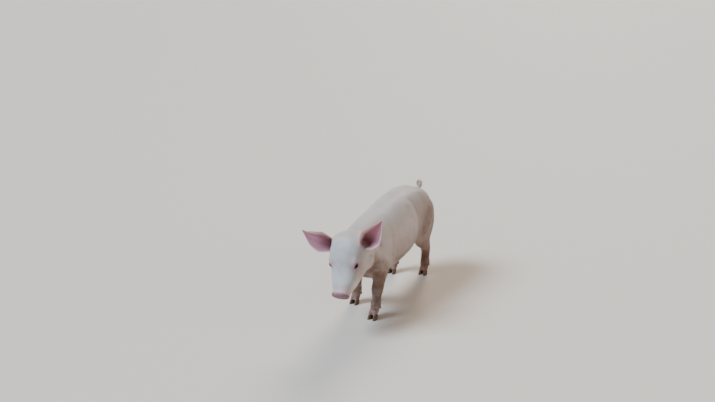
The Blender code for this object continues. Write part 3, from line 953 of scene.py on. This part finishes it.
def hide_colour(nodes):
    """The colours of skin and coat alike: pale hide, pink where it is bare, brown where soiled and dusty, with
    that brown also standing for painted shade, and a painted blue-grey tint of light where the hide looks up.
    """
    patches = nodes.range(nodes.noise(9.0, 3.0), 0.36, 0.68)
    colour = nodes.mix(patches, linear(230, 216, 210), linear(222, 203, 196))
    flush = nodes.range(nodes.noise(21.0, 2.0), 0.52, 0.72, 0.0, 0.35)
    colour = nodes.mix(flush, colour, linear(219, 189, 184))
    uneven = nodes.range(nodes.noise(30.0, 4.0), 0.25, 0.75, 0.6, 1.0)
    # painted light: a blue-grey tint, in uneven patches, where the face and the back look up, as the bluish key
    # light would tint them
    colour = nodes.mix(nodes.times(nodes.attribute("painted_cool_light"), uneven), colour, linear(178, 183, 189))
    # brown in cloudy patches: dusty hams and lower body, darkened further there as painted shade, and painted
    # shade under the jaw and on the sides of the head
    clouds = nodes.plus(nodes.noise(11.0, 3.0), nodes.times(nodes.noise(46.0, 6.0), 0.8))
    cloudy = nodes.range(clouds, 0.60, 1.20, 0.45, 0.95)
    colour = nodes.mix(nodes.times(nodes.attribute("dust_and_shade"), cloudy), colour, linear(140, 106, 86))
    colour = nodes.mix(nodes.attribute("pink"), colour, linear(168, 112, 134))
    mottled = nodes.range(nodes.noise(70.0, 3.0), 0.35, 0.65)
    nose = nodes.mix(mottled, linear(134, 106, 118), linear(162, 128, 136))
    colour = nodes.mix(nodes.attribute("snout"), colour, nose)
    # brown on the legs in blotches, darker towards the feet: soiled legs, darkened further as painted shade
    dirt_and_shade_blotches = nodes.range(nodes.noise(24.0, 5.0), 0.30, 0.66, 0.35, 1.0)
    colour = nodes.mix(nodes.times(nodes.attribute("dirt_and_shade"), dirt_and_shade_blotches), colour, linear(116, 86, 66))
    spotted = nodes.range(nodes.noise(6.0), 0.48, 0.60, 0.0, 0.5)
    specks = nodes.times(nodes.range(nodes.noise(150.0, 1.0), 0.70, 0.78), spotted)
    return nodes.mix(specks, colour, linear(138, 132, 136))


def skin_material():
    material, nodes = new_material("hide", 0.50)
    colour = hide_colour(nodes)
    # painted shade: a reddish dark in the creases and a dark mauve in the ears' cups and openings; then the dark
    # margins of the lids
    for mark, tint in (("crease_shade", (172, 126, 114)), ("eyelid", (104, 74, 76)), ("ear_hollow_shade", (108, 54, 62))):
        colour = nodes.mix(nodes.attribute(mark), colour, linear(*tint))
    wrinkled = nodes.raised(nodes.cells(420.0), 0.0004)
    nodes.shade({"Base Color": colour, "Normal": nodes.raised(nodes.noise(900.0, 2.0), 0.0003, wrinkled)})
    nodes.scatter(0.22, (1.0, 0.35, 0.20), 0.005)
    return material


# Rings of the eye's colour: where each starts and is full, in eye radii, and its colour.
EYE_RINGS = ((0.24, 0.30, (52, 32, 20)), (0.50, 0.60, (30, 18, 14)), (0.66, 0.74, (150, 110, 96)))


def eye_material():
    """The pupil, the iris, its dark edge and the white, from the middle outwards."""
    material, nodes = new_material("eye", 0.06)
    reach = nodes.attribute("reach")
    colour = linear(8, 6, 6)
    for start, end, tint in EYE_RINGS:
        colour = nodes.mix(nodes.range(reach, start, end), colour, linear(*tint))
    nodes.shade({"Base Color": colour, "IOR": 1.38})
    return material


def horn_material():
    material, nodes = new_material("horn", 0.55)
    streaks = nodes.noise(90.0, 4.0)
    colour = nodes.mix(nodes.range(streaks, 0.25, 0.75), linear(98, 82, 72), linear(128, 110, 96))
    nodes.shade({"Base Color": colour, "Normal": nodes.raised(streaks, 0.0003)})
    return material


def coat_material():
    """Bristles: the hide's own colours with its painted shade and painted blue-grey light, paler and clearer
    towards the tip, and less pale over soiled and dusty hide and over its painted shade and light.
    """
    material, nodes = new_material("bristles", 0.42)
    pale = nodes.mix(nodes.attribute("tone"), linear(243, 242, 239), linear(224, 216, 205))
    share = nodes.range(nodes.attribute("along"), 0.0, 0.6, 0.45, 0.90)
    # the pale tip shrinks where the hide is soiled and dusty, and where shade and blue-grey light are painted on
    # it
    soil_and_painted_light = nodes.plus(nodes.attribute("dirt_and_shade"), nodes.attribute("dust_and_shade"))
    soil_and_painted_light = nodes.plus(soil_and_painted_light, nodes.times(nodes.attribute("painted_cool_light"), 0.45))
    pale_share = nodes.math("SUBTRACT", share, nodes.times(soil_and_painted_light, 0.62))
    nodes.shade({"Base Color": nodes.mix(pale_share, hide_colour(nodes), pale)})
    nodes.scatter(0.5, (1.0, 0.9, 0.8), 0.001)
    return material


# ---------------------------------------------------------------- where the skin is pink and soiled, and where shade and blue-grey light are painted on it


def nearest_rows(points, targets, rows, within):
    """For each point the row that belongs to its nearest target, and the distance to it."""
    tree = KDTree(len(targets))
    for index, target in enumerate(targets):
        tree.insert(target, index)
    tree.balance()
    low = np.array(targets).min(axis=0) - within
    high = np.array(targets).max(axis=0) + within
    near = ((points > low) & (points < high)).all(axis=1).nonzero()[0]
    found = np.zeros((len(points), len(rows[0])))
    distance = np.full(len(points), 1.0)
    for index in near:
        _, target, far = tree.find(points[index])
        found[index] = rows[target]
        distance[index] = far
    return found, distance


def ear_places(points, normals):
    """Where each point lies on its ear (t, s, face, side), and how surely it belongs to the ear.

    The face is below 0 inside the ear and above 0 on its back.
    """
    places = np.zeros((len(points), 4))
    weight = np.zeros(len(points))
    for side, sign in SIDES.items():
        targets, rows = ear_surface(side)
        found, distance = nearest_rows(points, targets, rows, 0.008)
        inwards = dots(found[:, 2:], normals)
        surely = ramp(distance, 0.0075, 0.0035) * ramp(found[:, 0], 0.02, 0.14)
        better = surely > weight
        weight[better] = surely[better]
        spots = np.column_stack([found[:, :2], -inwards, np.full(len(points), sign)])
        places[better] = spots[better]
    return places, weight


def tail_places(points):
    """How far along the tail each point is, its line's direction there, and how surely it is on the tail."""
    line = [Vector(point) for point in tail_line()]
    ways = [(b - a).normalized() for a, b in zip(line, line[1:])]
    ways.append(ways[-1])
    rows = [(k / (len(line) - 1), *way) for k, way in enumerate(ways)]
    found, distance = nearest_rows(points, line, rows, 0.012)
    return found, ramp(distance, 0.011, 0.008) * ramp(found[:, 0], 0.08, 0.2)


def leg_weight(points):
    """1 on the legs, 0 on the body."""
    weight = np.zeros(len(points))
    for leg in LEGS:
        low, high = arrays(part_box(leg))
        top = high[2] - 0.035
        inside = np.ones(len(points))
        for axis in (0, 1):
            inside *= ramp(points[:, axis], low[axis] - 0.012, low[axis] - 0.002)
            inside *= ramp(points[:, axis], high[axis] + 0.012, high[axis] + 0.002)
        weight = np.maximum(weight, inside * ramp(points[:, 2], top, top - 0.07))
    return weight


CREASE_FULL = 0.00040  # a vertex sunk this far under its neighbours gets the full painted shade of a crease
LEAST_ROLL = 0.022  # the smallest radius that an ear's roll is taken to have

Places = namedtuple("Places", "points normals edges local ear on_ear tail on_tail on_leg on_head")


def places_of(skin):
    """What the marks and the coat need to know of each vertex."""
    points, normals = points_of(skin.data), normals_of(skin.data)
    local = to_head(points)
    ear, on_ear = ear_places(points, normals)
    on_head = ramp(local[:, 1], -0.005, -0.060) * (1 - on_ear)
    shape = (points, normals, edges_of(skin.data), local)
    return Places(*shape, ear, on_ear, *tail_places(points), leg_weight(points), on_head)


def in_roll(points, ear):
    """How surely each point is inside the roll of an ear's leaf, near its root."""
    up, wide, opening = arrays(ear_axes(ear))
    moved = (points - np.array(HEAD @ Vector(ear.root))) / LIFE
    along, half, roll = np.array(EAR_LEAF).T
    radius = np.interp(moved @ up / Vector(ear.reach).length, along, half / roll)
    radius = np.maximum(radius, LEAST_ROLL)
    reach = np.hypot(moved @ opening - radius, moved @ wide)
    return ramp(reach - radius, 0.0010, -0.0010)


def in_canal(places, start, end):
    """How surely each point is in or round an ear's opening, and not on the ear's back."""
    weight = np.zeros(len(places.points))
    for side, ear in EARS.items():
        opening = np.array(ear_axes(ear)[2])
        inside = highest(ramp(places.normals @ opening, 0.05, 0.35), in_roll(places.points, ear))
        weight = highest(weight, ramp(distances(places.points, canal_place(side)), start, end) * inside)
    return weight


def mark_skin(skin, places, axes):
    """Writes the skin's markings as values at its vertices, painted shade and painted blue-grey light among
    them.
    """
    points, normals, local, edges = places.points, places.normals, places.local, places.edges
    on_head, on_ear = places.on_head, places.on_ear
    _, y, z = points.T
    along = local[:, 1]
    ear_t, ear_s, ear_face, ear_side = places.ear.T
    near_edge = -ear_s * ear_side
    inner_ear = on_ear * ramp(ear_face, 0.10, -0.25) * ramp(np.abs(near_edge), 0.98, 0.80)
    inner_ear *= 0.15 + 0.85 * ramp(near_edge, 0.85, 0.40)
    low_belly = ramp(normals[:, 2], -0.5, -0.95) * ramp(y, -0.12, 0.0) * (1 - places.on_leg)
    pink = highest(
        0.45 * ramp(along, -0.20, -0.25),
        0.12 * on_ear + 0.78 * inner_ear,
        0.60 * in_canal(places, 0.044, 0.020),
        0.35 * low_belly,
    )
    eyelid = np.zeros(len(points))
    for side in SIDES:
        distance = distances(points, EYES[side]) / EYE_RADIUS
        a, b, _ = eye_plane(side, points, axes[side])
        eyelid = highest(eyelid, ramp(distance, 1.9, 1.2) * ramp(lid_gap(a, b), 0.62, 0.10))
        pink = highest(pink, 0.38 * ramp(distance, 3.6, 1.2))
    # painted shade in the creases, as deep as a vertex sinks under its neighbours
    sunk = dots(neighbours_mean(points, edges) - points, normals)
    facing = normals @ np.array(HEAD_TURN)
    off_nose = ramp(along, -0.24, -0.15)
    # brown that is partly dusty hide and partly painted shade on the hams and the lower body, and painted shade
    # under the jaw and on the head's side planes
    dust_and_shade = highest(
        0.90 * ramp(y, 0.14, 0.30) * ramp(z, 0.56, 0.34),
        0.90 * ramp(z, 0.44, 0.18) * ramp(along, -0.05, 0.02),
        ramp(local[:, 2], -0.005, -0.070) * off_nose * on_head,
        0.36 * ramp(np.abs(facing[:, 0]), 0.45, 0.90) * off_nose * on_head,
    )
    # painted light: a blue-grey tint on the face where it looks up and, weaker, on the back where it looks up;
    # bare pink skin and the ears are left out
    lit_face_cool_tint = on_head * ramp(facing[:, 2], 0.0, 0.55) * ramp(along, -0.25, -0.22)
    lit_back_cool_tint = 0.40 * ramp(normals[:, 2], 0.2, 0.8) * (1 - on_head) * (1 - places.on_tail)
    # painted shade deep in the ears' cups, and round their openings below
    hollow = inner_ear * ramp(ear_t, 0.70, 0.12) * ramp(np.abs(ear_s), 0.85, 0.30)
    marks = {
        "pink": pink,
        "snout": ramp(along, -0.2500, -0.2560) * ramp(local[:, 2], -0.036, -0.030),
        "dust_and_shade": dust_and_shade * (1 - on_ear),
        # the legs soiled and darkened as painted shade, darker towards the feet
        "dirt_and_shade": 0.90 * ramp(z, 0.29, 0.05) * ramp(places.on_leg, 0.0, 0.7),
        "painted_cool_light": highest(0.95 * lit_face_cool_tint, lit_back_cool_tint) * (1 - on_ear) * (1 - pink),
        "crease_shade": smoothed(np.clip(sunk / CREASE_FULL, 0, 1), edges, 2, push=PULL) * (1 - on_ear),
        "eyelid": eyelid,
        "ear_hollow_shade": highest(hollow, in_canal(places, 0.034, 0.008)),
    }
    for name, values in marks.items():
        add_values(skin.data, name, values)


# ---------------------------------------------------------------- the coat

MARKS = ("pink", "snout", "dirt_and_shade", "dust_and_shade", "painted_cool_light")  # the skin's marks that the coat carries too, painted shade and painted blue-grey light among them
COAT_SEED, LASH_SEED = 7, 11
FLOW_ROUNDS = 30
BRISTLE_RINGS = ((0.0, 1.0), (0.5, 0.72))  # along the bristle, and how thick it is there
BRISTLE_POINTS = 7  # two rings of three, and the tip
WHISKERS_FROM, WHISKER_SHARE = -0.19, 0.02  # where on the head, and the share of bristles
ROOT_DEPTH = 0.0003  # how far under the skin a bristle starts
BAKE_PATCH = 0.003
LASHES = ((34, UPPER_LID, 1, 0.0085), (14, -LOWER_LID, -1, 0.0045))  # number, lid, way and length

# The chart that the coat's colours are baked on: where the body and the head start and how long they are, the
# height of the body's middle and of the legs, and how much of its strip a leg or an ear fills after a margin.
BODY_START, BODY_LENGTH, BODY_MIDDLE = -0.47, 0.94, 0.335
HEAD_START, HEAD_LENGTH = -0.28, 0.30
LEG_HEIGHT = 0.31
STRIP, MARGIN = 0.96, 0.02

# A stretch of coat: bristles to the square metre, their length and radius, and how far they stand up.
Stretch = namedtuple("Stretch", "density length radius lift")

COAT = {
    "trunk": Stretch(112000, 0.0165, 0.00017, 0.21),
    "back": Stretch(140000, 0.0200, 0.00019, 0.25),
    "belly": Stretch(60000, 0.0135, 0.00015, 0.20),
    "leg": Stretch(115000, 0.0100, 0.00014, 0.20),
    "head": Stretch(165000, 0.0085, 0.00012, 0.20),
    "nose": Stretch(110000, 0.0045, 0.00010, 0.16),
    "ear": Stretch(150000, 0.0065, 0.00011, 0.22),
    "tail": Stretch(360000, 0.0145, 0.00017, 0.50),
}


def blend_stretches(weights):
    """Each vertex's own stretch of coat, from the weights of the named ones."""
    total = np.maximum(sum(weights.values()), 1e-6)
    fields = []
    for index in range(len(Stretch._fields)):
        fields.append(sum(weight * COAT[name][index] for name, weight in weights.items()) / total)
    return Stretch(*fields)


def coat_stretches(places, axes):
    """How dense, long, thick and raised the coat is at each vertex."""
    points, along, up = places.points, places.local[:, 1], places.normals[:, 2]
    on_head, on_ear = places.on_head, places.on_ear
    ear_t, ear_s, ear_face, _ = places.ear.T
    free = (1 - places.on_leg) * (1 - on_head) * (1 - on_ear) * (1 - places.on_tail)
    nose = on_head * ramp(along, -0.13, -0.21)
    weights = {
        "leg": places.on_leg * (1 - on_head),
        "head": on_head - nose,
        "nose": nose,
        "ear": on_ear,
        "tail": places.on_tail * 2,
        "back": free * ramp(up, 0.55, 0.95),
        "belly": free * ramp(up, -0.45, -0.85),
    }
    weights["trunk"] = np.clip(free - weights["back"] - weights["belly"], 0, 1)
    stretch = blend_stretches(weights)
    inside = on_ear * (ear_face < 0)
    bare = highest(
        ramp(along, -0.247, -0.252),
        0.70 * inside * ramp(np.abs(ear_s), 0.98, 0.80),
        ramp(points[:, 2], 0.022, 0.012),
        0.85 * in_canal(places, 0.034, 0.018),
    )
    for side in SIDES:
        a, b, c = eye_plane(side, points, axes[side])
        off_lids = highest(lid_gap(a, b), 0.8 * np.hypot(a, b) - 0.75)
        bare = highest(bare, (c > 0) * ramp(off_lids, 0.22, 0.12))
    longer = 1 + 0.9 * (inside * ramp(ear_t, 0.40, 0.10))
    return stretch._replace(density=stretch.density * (1 - bare), length=stretch.length * longer)


def coat_flow(places):
    """Which way the coat lies at each vertex."""
    points, normals, local = places.points, places.normals, places.local
    count = len(points)
    steep = 1 - np.abs(normals[:, 2])
    trunk = np.stack([np.zeros(count), np.ones(count), -0.15 - 0.55 * steep], axis=1)
    behind = ramp(points[:, 1], 0.17, 0.29)[:, None]
    trunk = trunk * (1 - behind) + np.array((0.0, 0.2, -1.0)) * behind
    leg = np.tile([0.0, 0.28, -1.0], (count, 1))
    down = -0.25 * ramp(local[:, 2], 0.03, -0.04)
    head_ways = np.stack([0.25 * np.sign(local[:, 0]), np.ones(count), down], axis=1)
    head = head_ways @ np.array(HEAD_TURN).T
    flow = trunk * (1 - places.on_leg - places.on_head).clip(0, 1)[:, None]
    flow += leg * places.on_leg[:, None] + head * places.on_head[:, None]
    for side, sign in SIDES.items():
        reach = np.array(Vector(EARS[side].reach).normalized())
        mine = (places.on_ear * (places.ear[:, 3] == sign))[:, None]
        flow = flow * (1 - mine) + reach * mine
    on_tail = places.on_tail[:, None]
    flow = flow * (1 - on_tail) + places.tail[:, 1:] * on_tail
    return square_to(smoothed(flow, places.edges, FLOW_ROUNDS, push=PULL), normals)


def pick_roots(points, triangles, density, chance):
    """Random places on the skin: for each one the three corners and their shares."""
    corners = points[triangles]
    area = np.linalg.norm(np.cross(corners[:, 1] - corners[:, 0], corners[:, 2] - corners[:, 0]), axis=1) / 2
    wanted = area * density[triangles].mean(axis=1)
    edges = np.cumsum(wanted)
    picked = np.searchsorted(edges, (np.arange(int(edges[-1])) + chance.random(int(edges[-1]))))
    picked = np.minimum(picked, len(triangles) - 1)
    a, b = chance.random((2, len(picked)))
    over = a + b > 1
    a[over], b[over] = 1 - a[over], 1 - b[over]
    return triangles[picked], np.stack([1 - a - b, a, b], axis=1)


def between(values, corners, shares):
    """Values at the vertices, read at the places that the corners and shares name."""
    found = values[corners]
    shares = shares.reshape(*shares.shape, *[1] * (values.ndim - 1))
    return (found * shares).sum(axis=1)


def turn_of(x, y):
    """The way round an axis, as a share of a whole turn."""
    return np.arctan2(x, y) / (2 * pi) + 0.5


def head_chart(local):
    along = (local[:, 1] - HEAD_START) / HEAD_LENGTH
    return np.stack([turn_of(local[:, 0], local[:, 2]), along], axis=1)


def unwrap(places):
    """Each vertex's place on a flat chart of the skin: round the body's axis and along it, by region."""
    x, y, z = places.points.T
    chart = np.stack([turn_of(x - MIDLINE, z - BODY_MIDDLE), (y - BODY_START) / BODY_LENGTH], axis=1)
    chart = np.where((places.on_head > 0.5)[:, None], head_chart(places.local), chart)
    for index, leg in enumerate(LEGS):
        low, high = arrays(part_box(leg))
        axis = (low + high) / 2
        near = np.abs(places.points[:, :2] - axis[:2]) < (high - low)[:2] / 2 + 0.014
        mine = (places.on_leg > 0.5) & near.all(axis=1)
        across = turn_of(x - axis[0], y - axis[1]) * STRIP + MARGIN
        spot = np.stack([(across + index % 2) / 2, (z / LEG_HEIGHT + index // 2) / 2], axis=1)
        chart = np.where(mine[:, None], spot, chart)
    ear_t, ear_s, ear_face, ear_side = places.ear.T
    across = (ear_s / 2 + 0.5) * STRIP + MARGIN
    ear = np.stack([(across + (ear_face > 0)) / 2, (ear_t * STRIP + (ear_side > 0)) / 2], axis=1)
    chart = np.where((places.on_ear > 0.5)[:, None], ear, chart)
    return np.clip(chart, 0.002, 0.995)


def bristle_mesh(name, roots, flow, normals, length, radius, lift, chart, marks, chance):
    """Closed, three-sided, tapering bristles joined into one mesh."""
    count = len(roots)
    across = np.cross(flow, normals)
    vertices = np.empty((count, BRISTLE_POINTS, 3))
    turned = chance.random(count) * 2 * pi
    for ring, (t, thick) in enumerate(BRISTLE_RINGS):
        rise = (lift * (t - 0.45 * t * t))[:, None]
        middle = roots + (flow * t + normals * rise) * length[:, None] - normals * ROOT_DEPTH * (t == 0)
        for k in range(3):
            angle = turned + 2 * pi * k / 3
            offset = across * np.cos(angle)[:, None] + normals * np.sin(angle)[:, None]
            vertices[:, ring * 3 + k] = middle + offset * (radius * thick)[:, None]
    vertices[:, -1] = roots + (flow + normals * (lift * 0.55)[:, None]) * length[:, None]
    faces = [(0, 2, 1)]
    for k in range(3):
        n = (k + 1) % 3
        faces += [(k, n, 3 + n), (k, 3 + n, 3 + k), (3 + k, 3 + n, 6)]
    faces = np.array(faces)
    loops = (faces[None] + BRISTLE_POINTS * np.arange(count)[:, None, None]).ravel()
    data = bpy.data.meshes.new(name)
    data.vertices.add(count * BRISTLE_POINTS)
    data.vertices.foreach_set("co", vertices.astype(np.float32).ravel())
    data.loops.add(len(loops))
    data.loops.foreach_set("vertex_index", loops.astype(np.int32))
    data.polygons.add(count * len(faces))
    data.polygons.foreach_set("loop_start", np.arange(0, len(loops), 3, dtype=np.int32))
    data.update(calc_edges=True)
    corner = np.array([(k / 3, t) for t in (0, 0.5) for k in range(3)] + [(0.5, 1.0)]) * BAKE_PATCH
    spots = (chart[:, None, :] + corner[None]).reshape(-1, 2)
    data.uv_layers.new(name="OFBake").uv.foreach_set("vector", spots[loops].astype(np.float32).ravel())
    for mark, values in marks.items():
        add_values(data, mark, np.repeat(values, BRISTLE_POINTS))
    add_values(data, "along", np.tile([0, 0, 0, 0.5, 0.5, 0.5, 1], count))
    add_values(data, "tone", np.repeat(chance.random(count), BRISTLE_POINTS))
    data.shade_smooth()
    return new_object(name, data)


def lash_piece(axes):
    """Pale lashes along the upper lids, with a few on the lower."""
    chance = np.random.default_rng(LASH_SEED)
    rows = []
    for side in SIDES:
        out, fore, up = arrays(axes[side])
        for count, lid, way, long in LASHES:
            for a in np.linspace(-0.86, 0.80, count) * EYE_OPEN + chance.uniform(-0.02, 0.02, count):
                b = lid * max(0.0, 1 - (a / EYE_OPEN) ** 2) ** 0.75 + 0.05 * way
                c = max(0.04, 1.17 - a * a - b * b) ** 0.5
                root = np.array(EYES[side]) + (a * fore + b * up + c * out) * EYE_RADIUS
                lie = out * 0.55 + up * (0.75 * way) + fore * (0.45 * a - 0.25) + chance.normal(0, 0.08, 3)
                rows.append((root, lie / np.linalg.norm(lie), out, long))
    roots, flow, out, length = arrays(zip(*rows))
    count = len(rows)
    length = length * chance.uniform(0.75, 1.1, count)
    radius, lift = np.full(count, 0.00012), np.full(count, -0.25)
    chart = head_chart(to_head(roots))
    marks = {name: np.zeros(count) for name in MARKS}
    shape = (roots, flow, square_to(out, flow), length, radius, lift)
    return bristle_mesh("coat_lashes", *shape, chart, marks, chance)


def coat_regions(places):
    """Which piece of the coat each vertex belongs to."""
    points = places.points
    left = points[:, 0] > MIDLINE
    region = np.where(points[:, 1] < -0.06, 0, np.where(points[:, 1] < 0.16, 1, 2))
    names = np.array(["shoulders", "barrel", "rump"])[region].astype("<U24")
    names = np.char.add(names, np.where(left, "_left", "_right"))
    names[places.on_leg > 0.5] = "legs"
    names = np.where(places.on_head > 0.5, np.where(places.local[:, 0] > 0, "head_left", "head_right"), names)
    names[places.on_ear > 0.5] = "ears"
    names[places.on_tail > 0.5] = "tail"
    return names


def coat_pieces(skin, places, axes):
    """A piece of joined bristles for each region, and the lashes."""
    chance = np.random.default_rng(COAT_SEED)
    stretch = coat_stretches(places, axes)
    flow, chart, names = coat_flow(places), unwrap(places), coat_regions(places)
    triangles = triangles_of(skin.data)
    marks = {name: values_of(skin.data, name) for name in MARKS}
    pieces = []
    for name in sorted(set(names)):
        mine = triangles[names[triangles[:, 0]] == name]
        spots = pick_roots(places.points, mine, stretch.density, chance)
        count = len(spots[0])
        roots, normals, way = (between(field, *spots) for field in (places.points, places.normals, flow))
        swing = 0.22 * wander(roots, 0.035) + 0.16 * chance.standard_normal(count)
        way = unit(way + np.cross(normals, way) * swing[:, None])
        length = between(stretch.length, *spots) * chance.uniform(0.65, 1.15, count)
        lift = between(stretch.lift, *spots) * chance.uniform(0.5, 1.6, count)
        on_nose = between(places.local, *spots)[:, 1] < WHISKERS_FROM
        whisker = on_nose & (chance.random(count) < WHISKER_SHARE)
        length[whisker] *= 3.2
        lift[whisker] *= 3.0
        radius = between(stretch.radius, *spots) * chance.uniform(0.8, 1.2, count)
        values = {mark: between(value, *spots) for mark, value in marks.items()}
        shape = (roots, way, normals, length, radius, lift)
        pieces.append(bristle_mesh("coat_" + name, *shape, chart[spots[0][:, 0]], values, chance))
    return pieces + [lash_piece(axes)]


# ---------------------------------------------------------------- the studio


WORLD_LIGHT, WORLD_SEEN = 0.34, 0.97  # how strongly the world lights the pig, and how bright it looks


def studio_floor():
    half = 60.0
    corners = [(-half, -half, 0), (half, -half, 0), (half, half, 0), (-half, half, 0)]
    floor = new_object("floor", mesh_of("floor", corners, [(0, 1, 2, 3)]))
    material, nodes = new_material("floor", 0.8)
    nodes.shade({"Base Color": linear(214, 205, 196)})
    floor.data.materials.append(material)


def studio_light(name, place, softness, strength, colour):
    """A distant soft light that shines from a place towards the pig."""
    lamp = bpy.data.lights.new(name, "SUN")
    lamp.energy = strength
    lamp.angle = radians(softness)
    lamp.color = colour
    light = new_object(name, lamp)
    light.location = place
    light.rotation_mode = "XYZ"
    light.rotation_euler = Vector(place).to_track_quat("Z", "Y").to_euler()


def studio_world():
    """An even light from all round; as a backdrop it is as pale as the floor."""
    world = bpy.data.worlds.new("studio")
    world.use_nodes = True
    tree = world.node_tree
    background = tree.nodes["Background"]
    background.inputs["Color"].default_value = linear(226, 222, 217)
    strength = tree.nodes.new("ShaderNodeMapRange")
    strength.inputs["To Min"].default_value = WORLD_LIGHT
    strength.inputs["To Max"].default_value = WORLD_SEEN
    seen = tree.nodes.new("ShaderNodeLightPath").outputs["Is Camera Ray"]
    tree.links.new(seen, strength.inputs["Value"])
    tree.links.new(strength.outputs["Result"], background.inputs["Strength"])
    bpy.context.scene.world = world


def studio():
    studio_floor()
    studio_light("key", (-0.95, -0.80, 1.30), 26, 3.2, (0.70, 0.86, 1.0))
    studio_light("rim", (-0.20, 0.95, 0.62), 20, 1.7, (1.0, 0.88, 0.74))
    studio_light("side", (1.00, 0.05, 0.55), 60, 0.50, (1.0, 0.92, 0.90))
    studio_world()
    bpy.context.scene.view_settings.look = "AgX - Medium High Contrast"
    bpy.context.scene.view_settings.exposure = 0.0


def photo_camera():
    lens = bpy.data.cameras.new("camera")
    lens.sensor_width = 36.0
    lens.lens = 34.48
    camera = new_object("camera", lens)
    camera.location = (1.4781, -2.7905, 1.5713)
    camera.rotation_mode = "XYZ"
    camera.rotation_euler = (radians(71.383), 0.0, radians(29.290))
    bpy.context.scene.camera = camera


# ---------------------------------------------------------------- the pig


def add_piece(piece, material, slot, *nodes):
    piece.data.materials.clear()
    piece.data.materials.append(material)
    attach(piece, "root")
    if nodes:
        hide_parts(*nodes)


def horn_nodes():
    return [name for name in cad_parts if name.startswith(("claw_", "dewclaw_"))]


def pig():
    skin, eye_frames = make_skin()
    places = places_of(skin)
    mark_skin(skin, places, eye_frames)
    skin.data.shade_smooth()
    add_piece(skin, skin_material(), "skin", *FLESH, "ear_left", "ear_right", "tail")
    for side in SIDES:
        add_piece(eye_piece(side, eye_frames[side]), eye_material(), "eye", "eye_" + side)
    horn = horn_material()
    for node in horn_nodes():
        add_piece(claw_piece(node), horn, "horn", node)
    bristles = coat_material()
    for piece in coat_pieces(skin, places, eye_frames):
        add_piece(piece, bristles, "skin")


pig()
studio()
photo_camera()
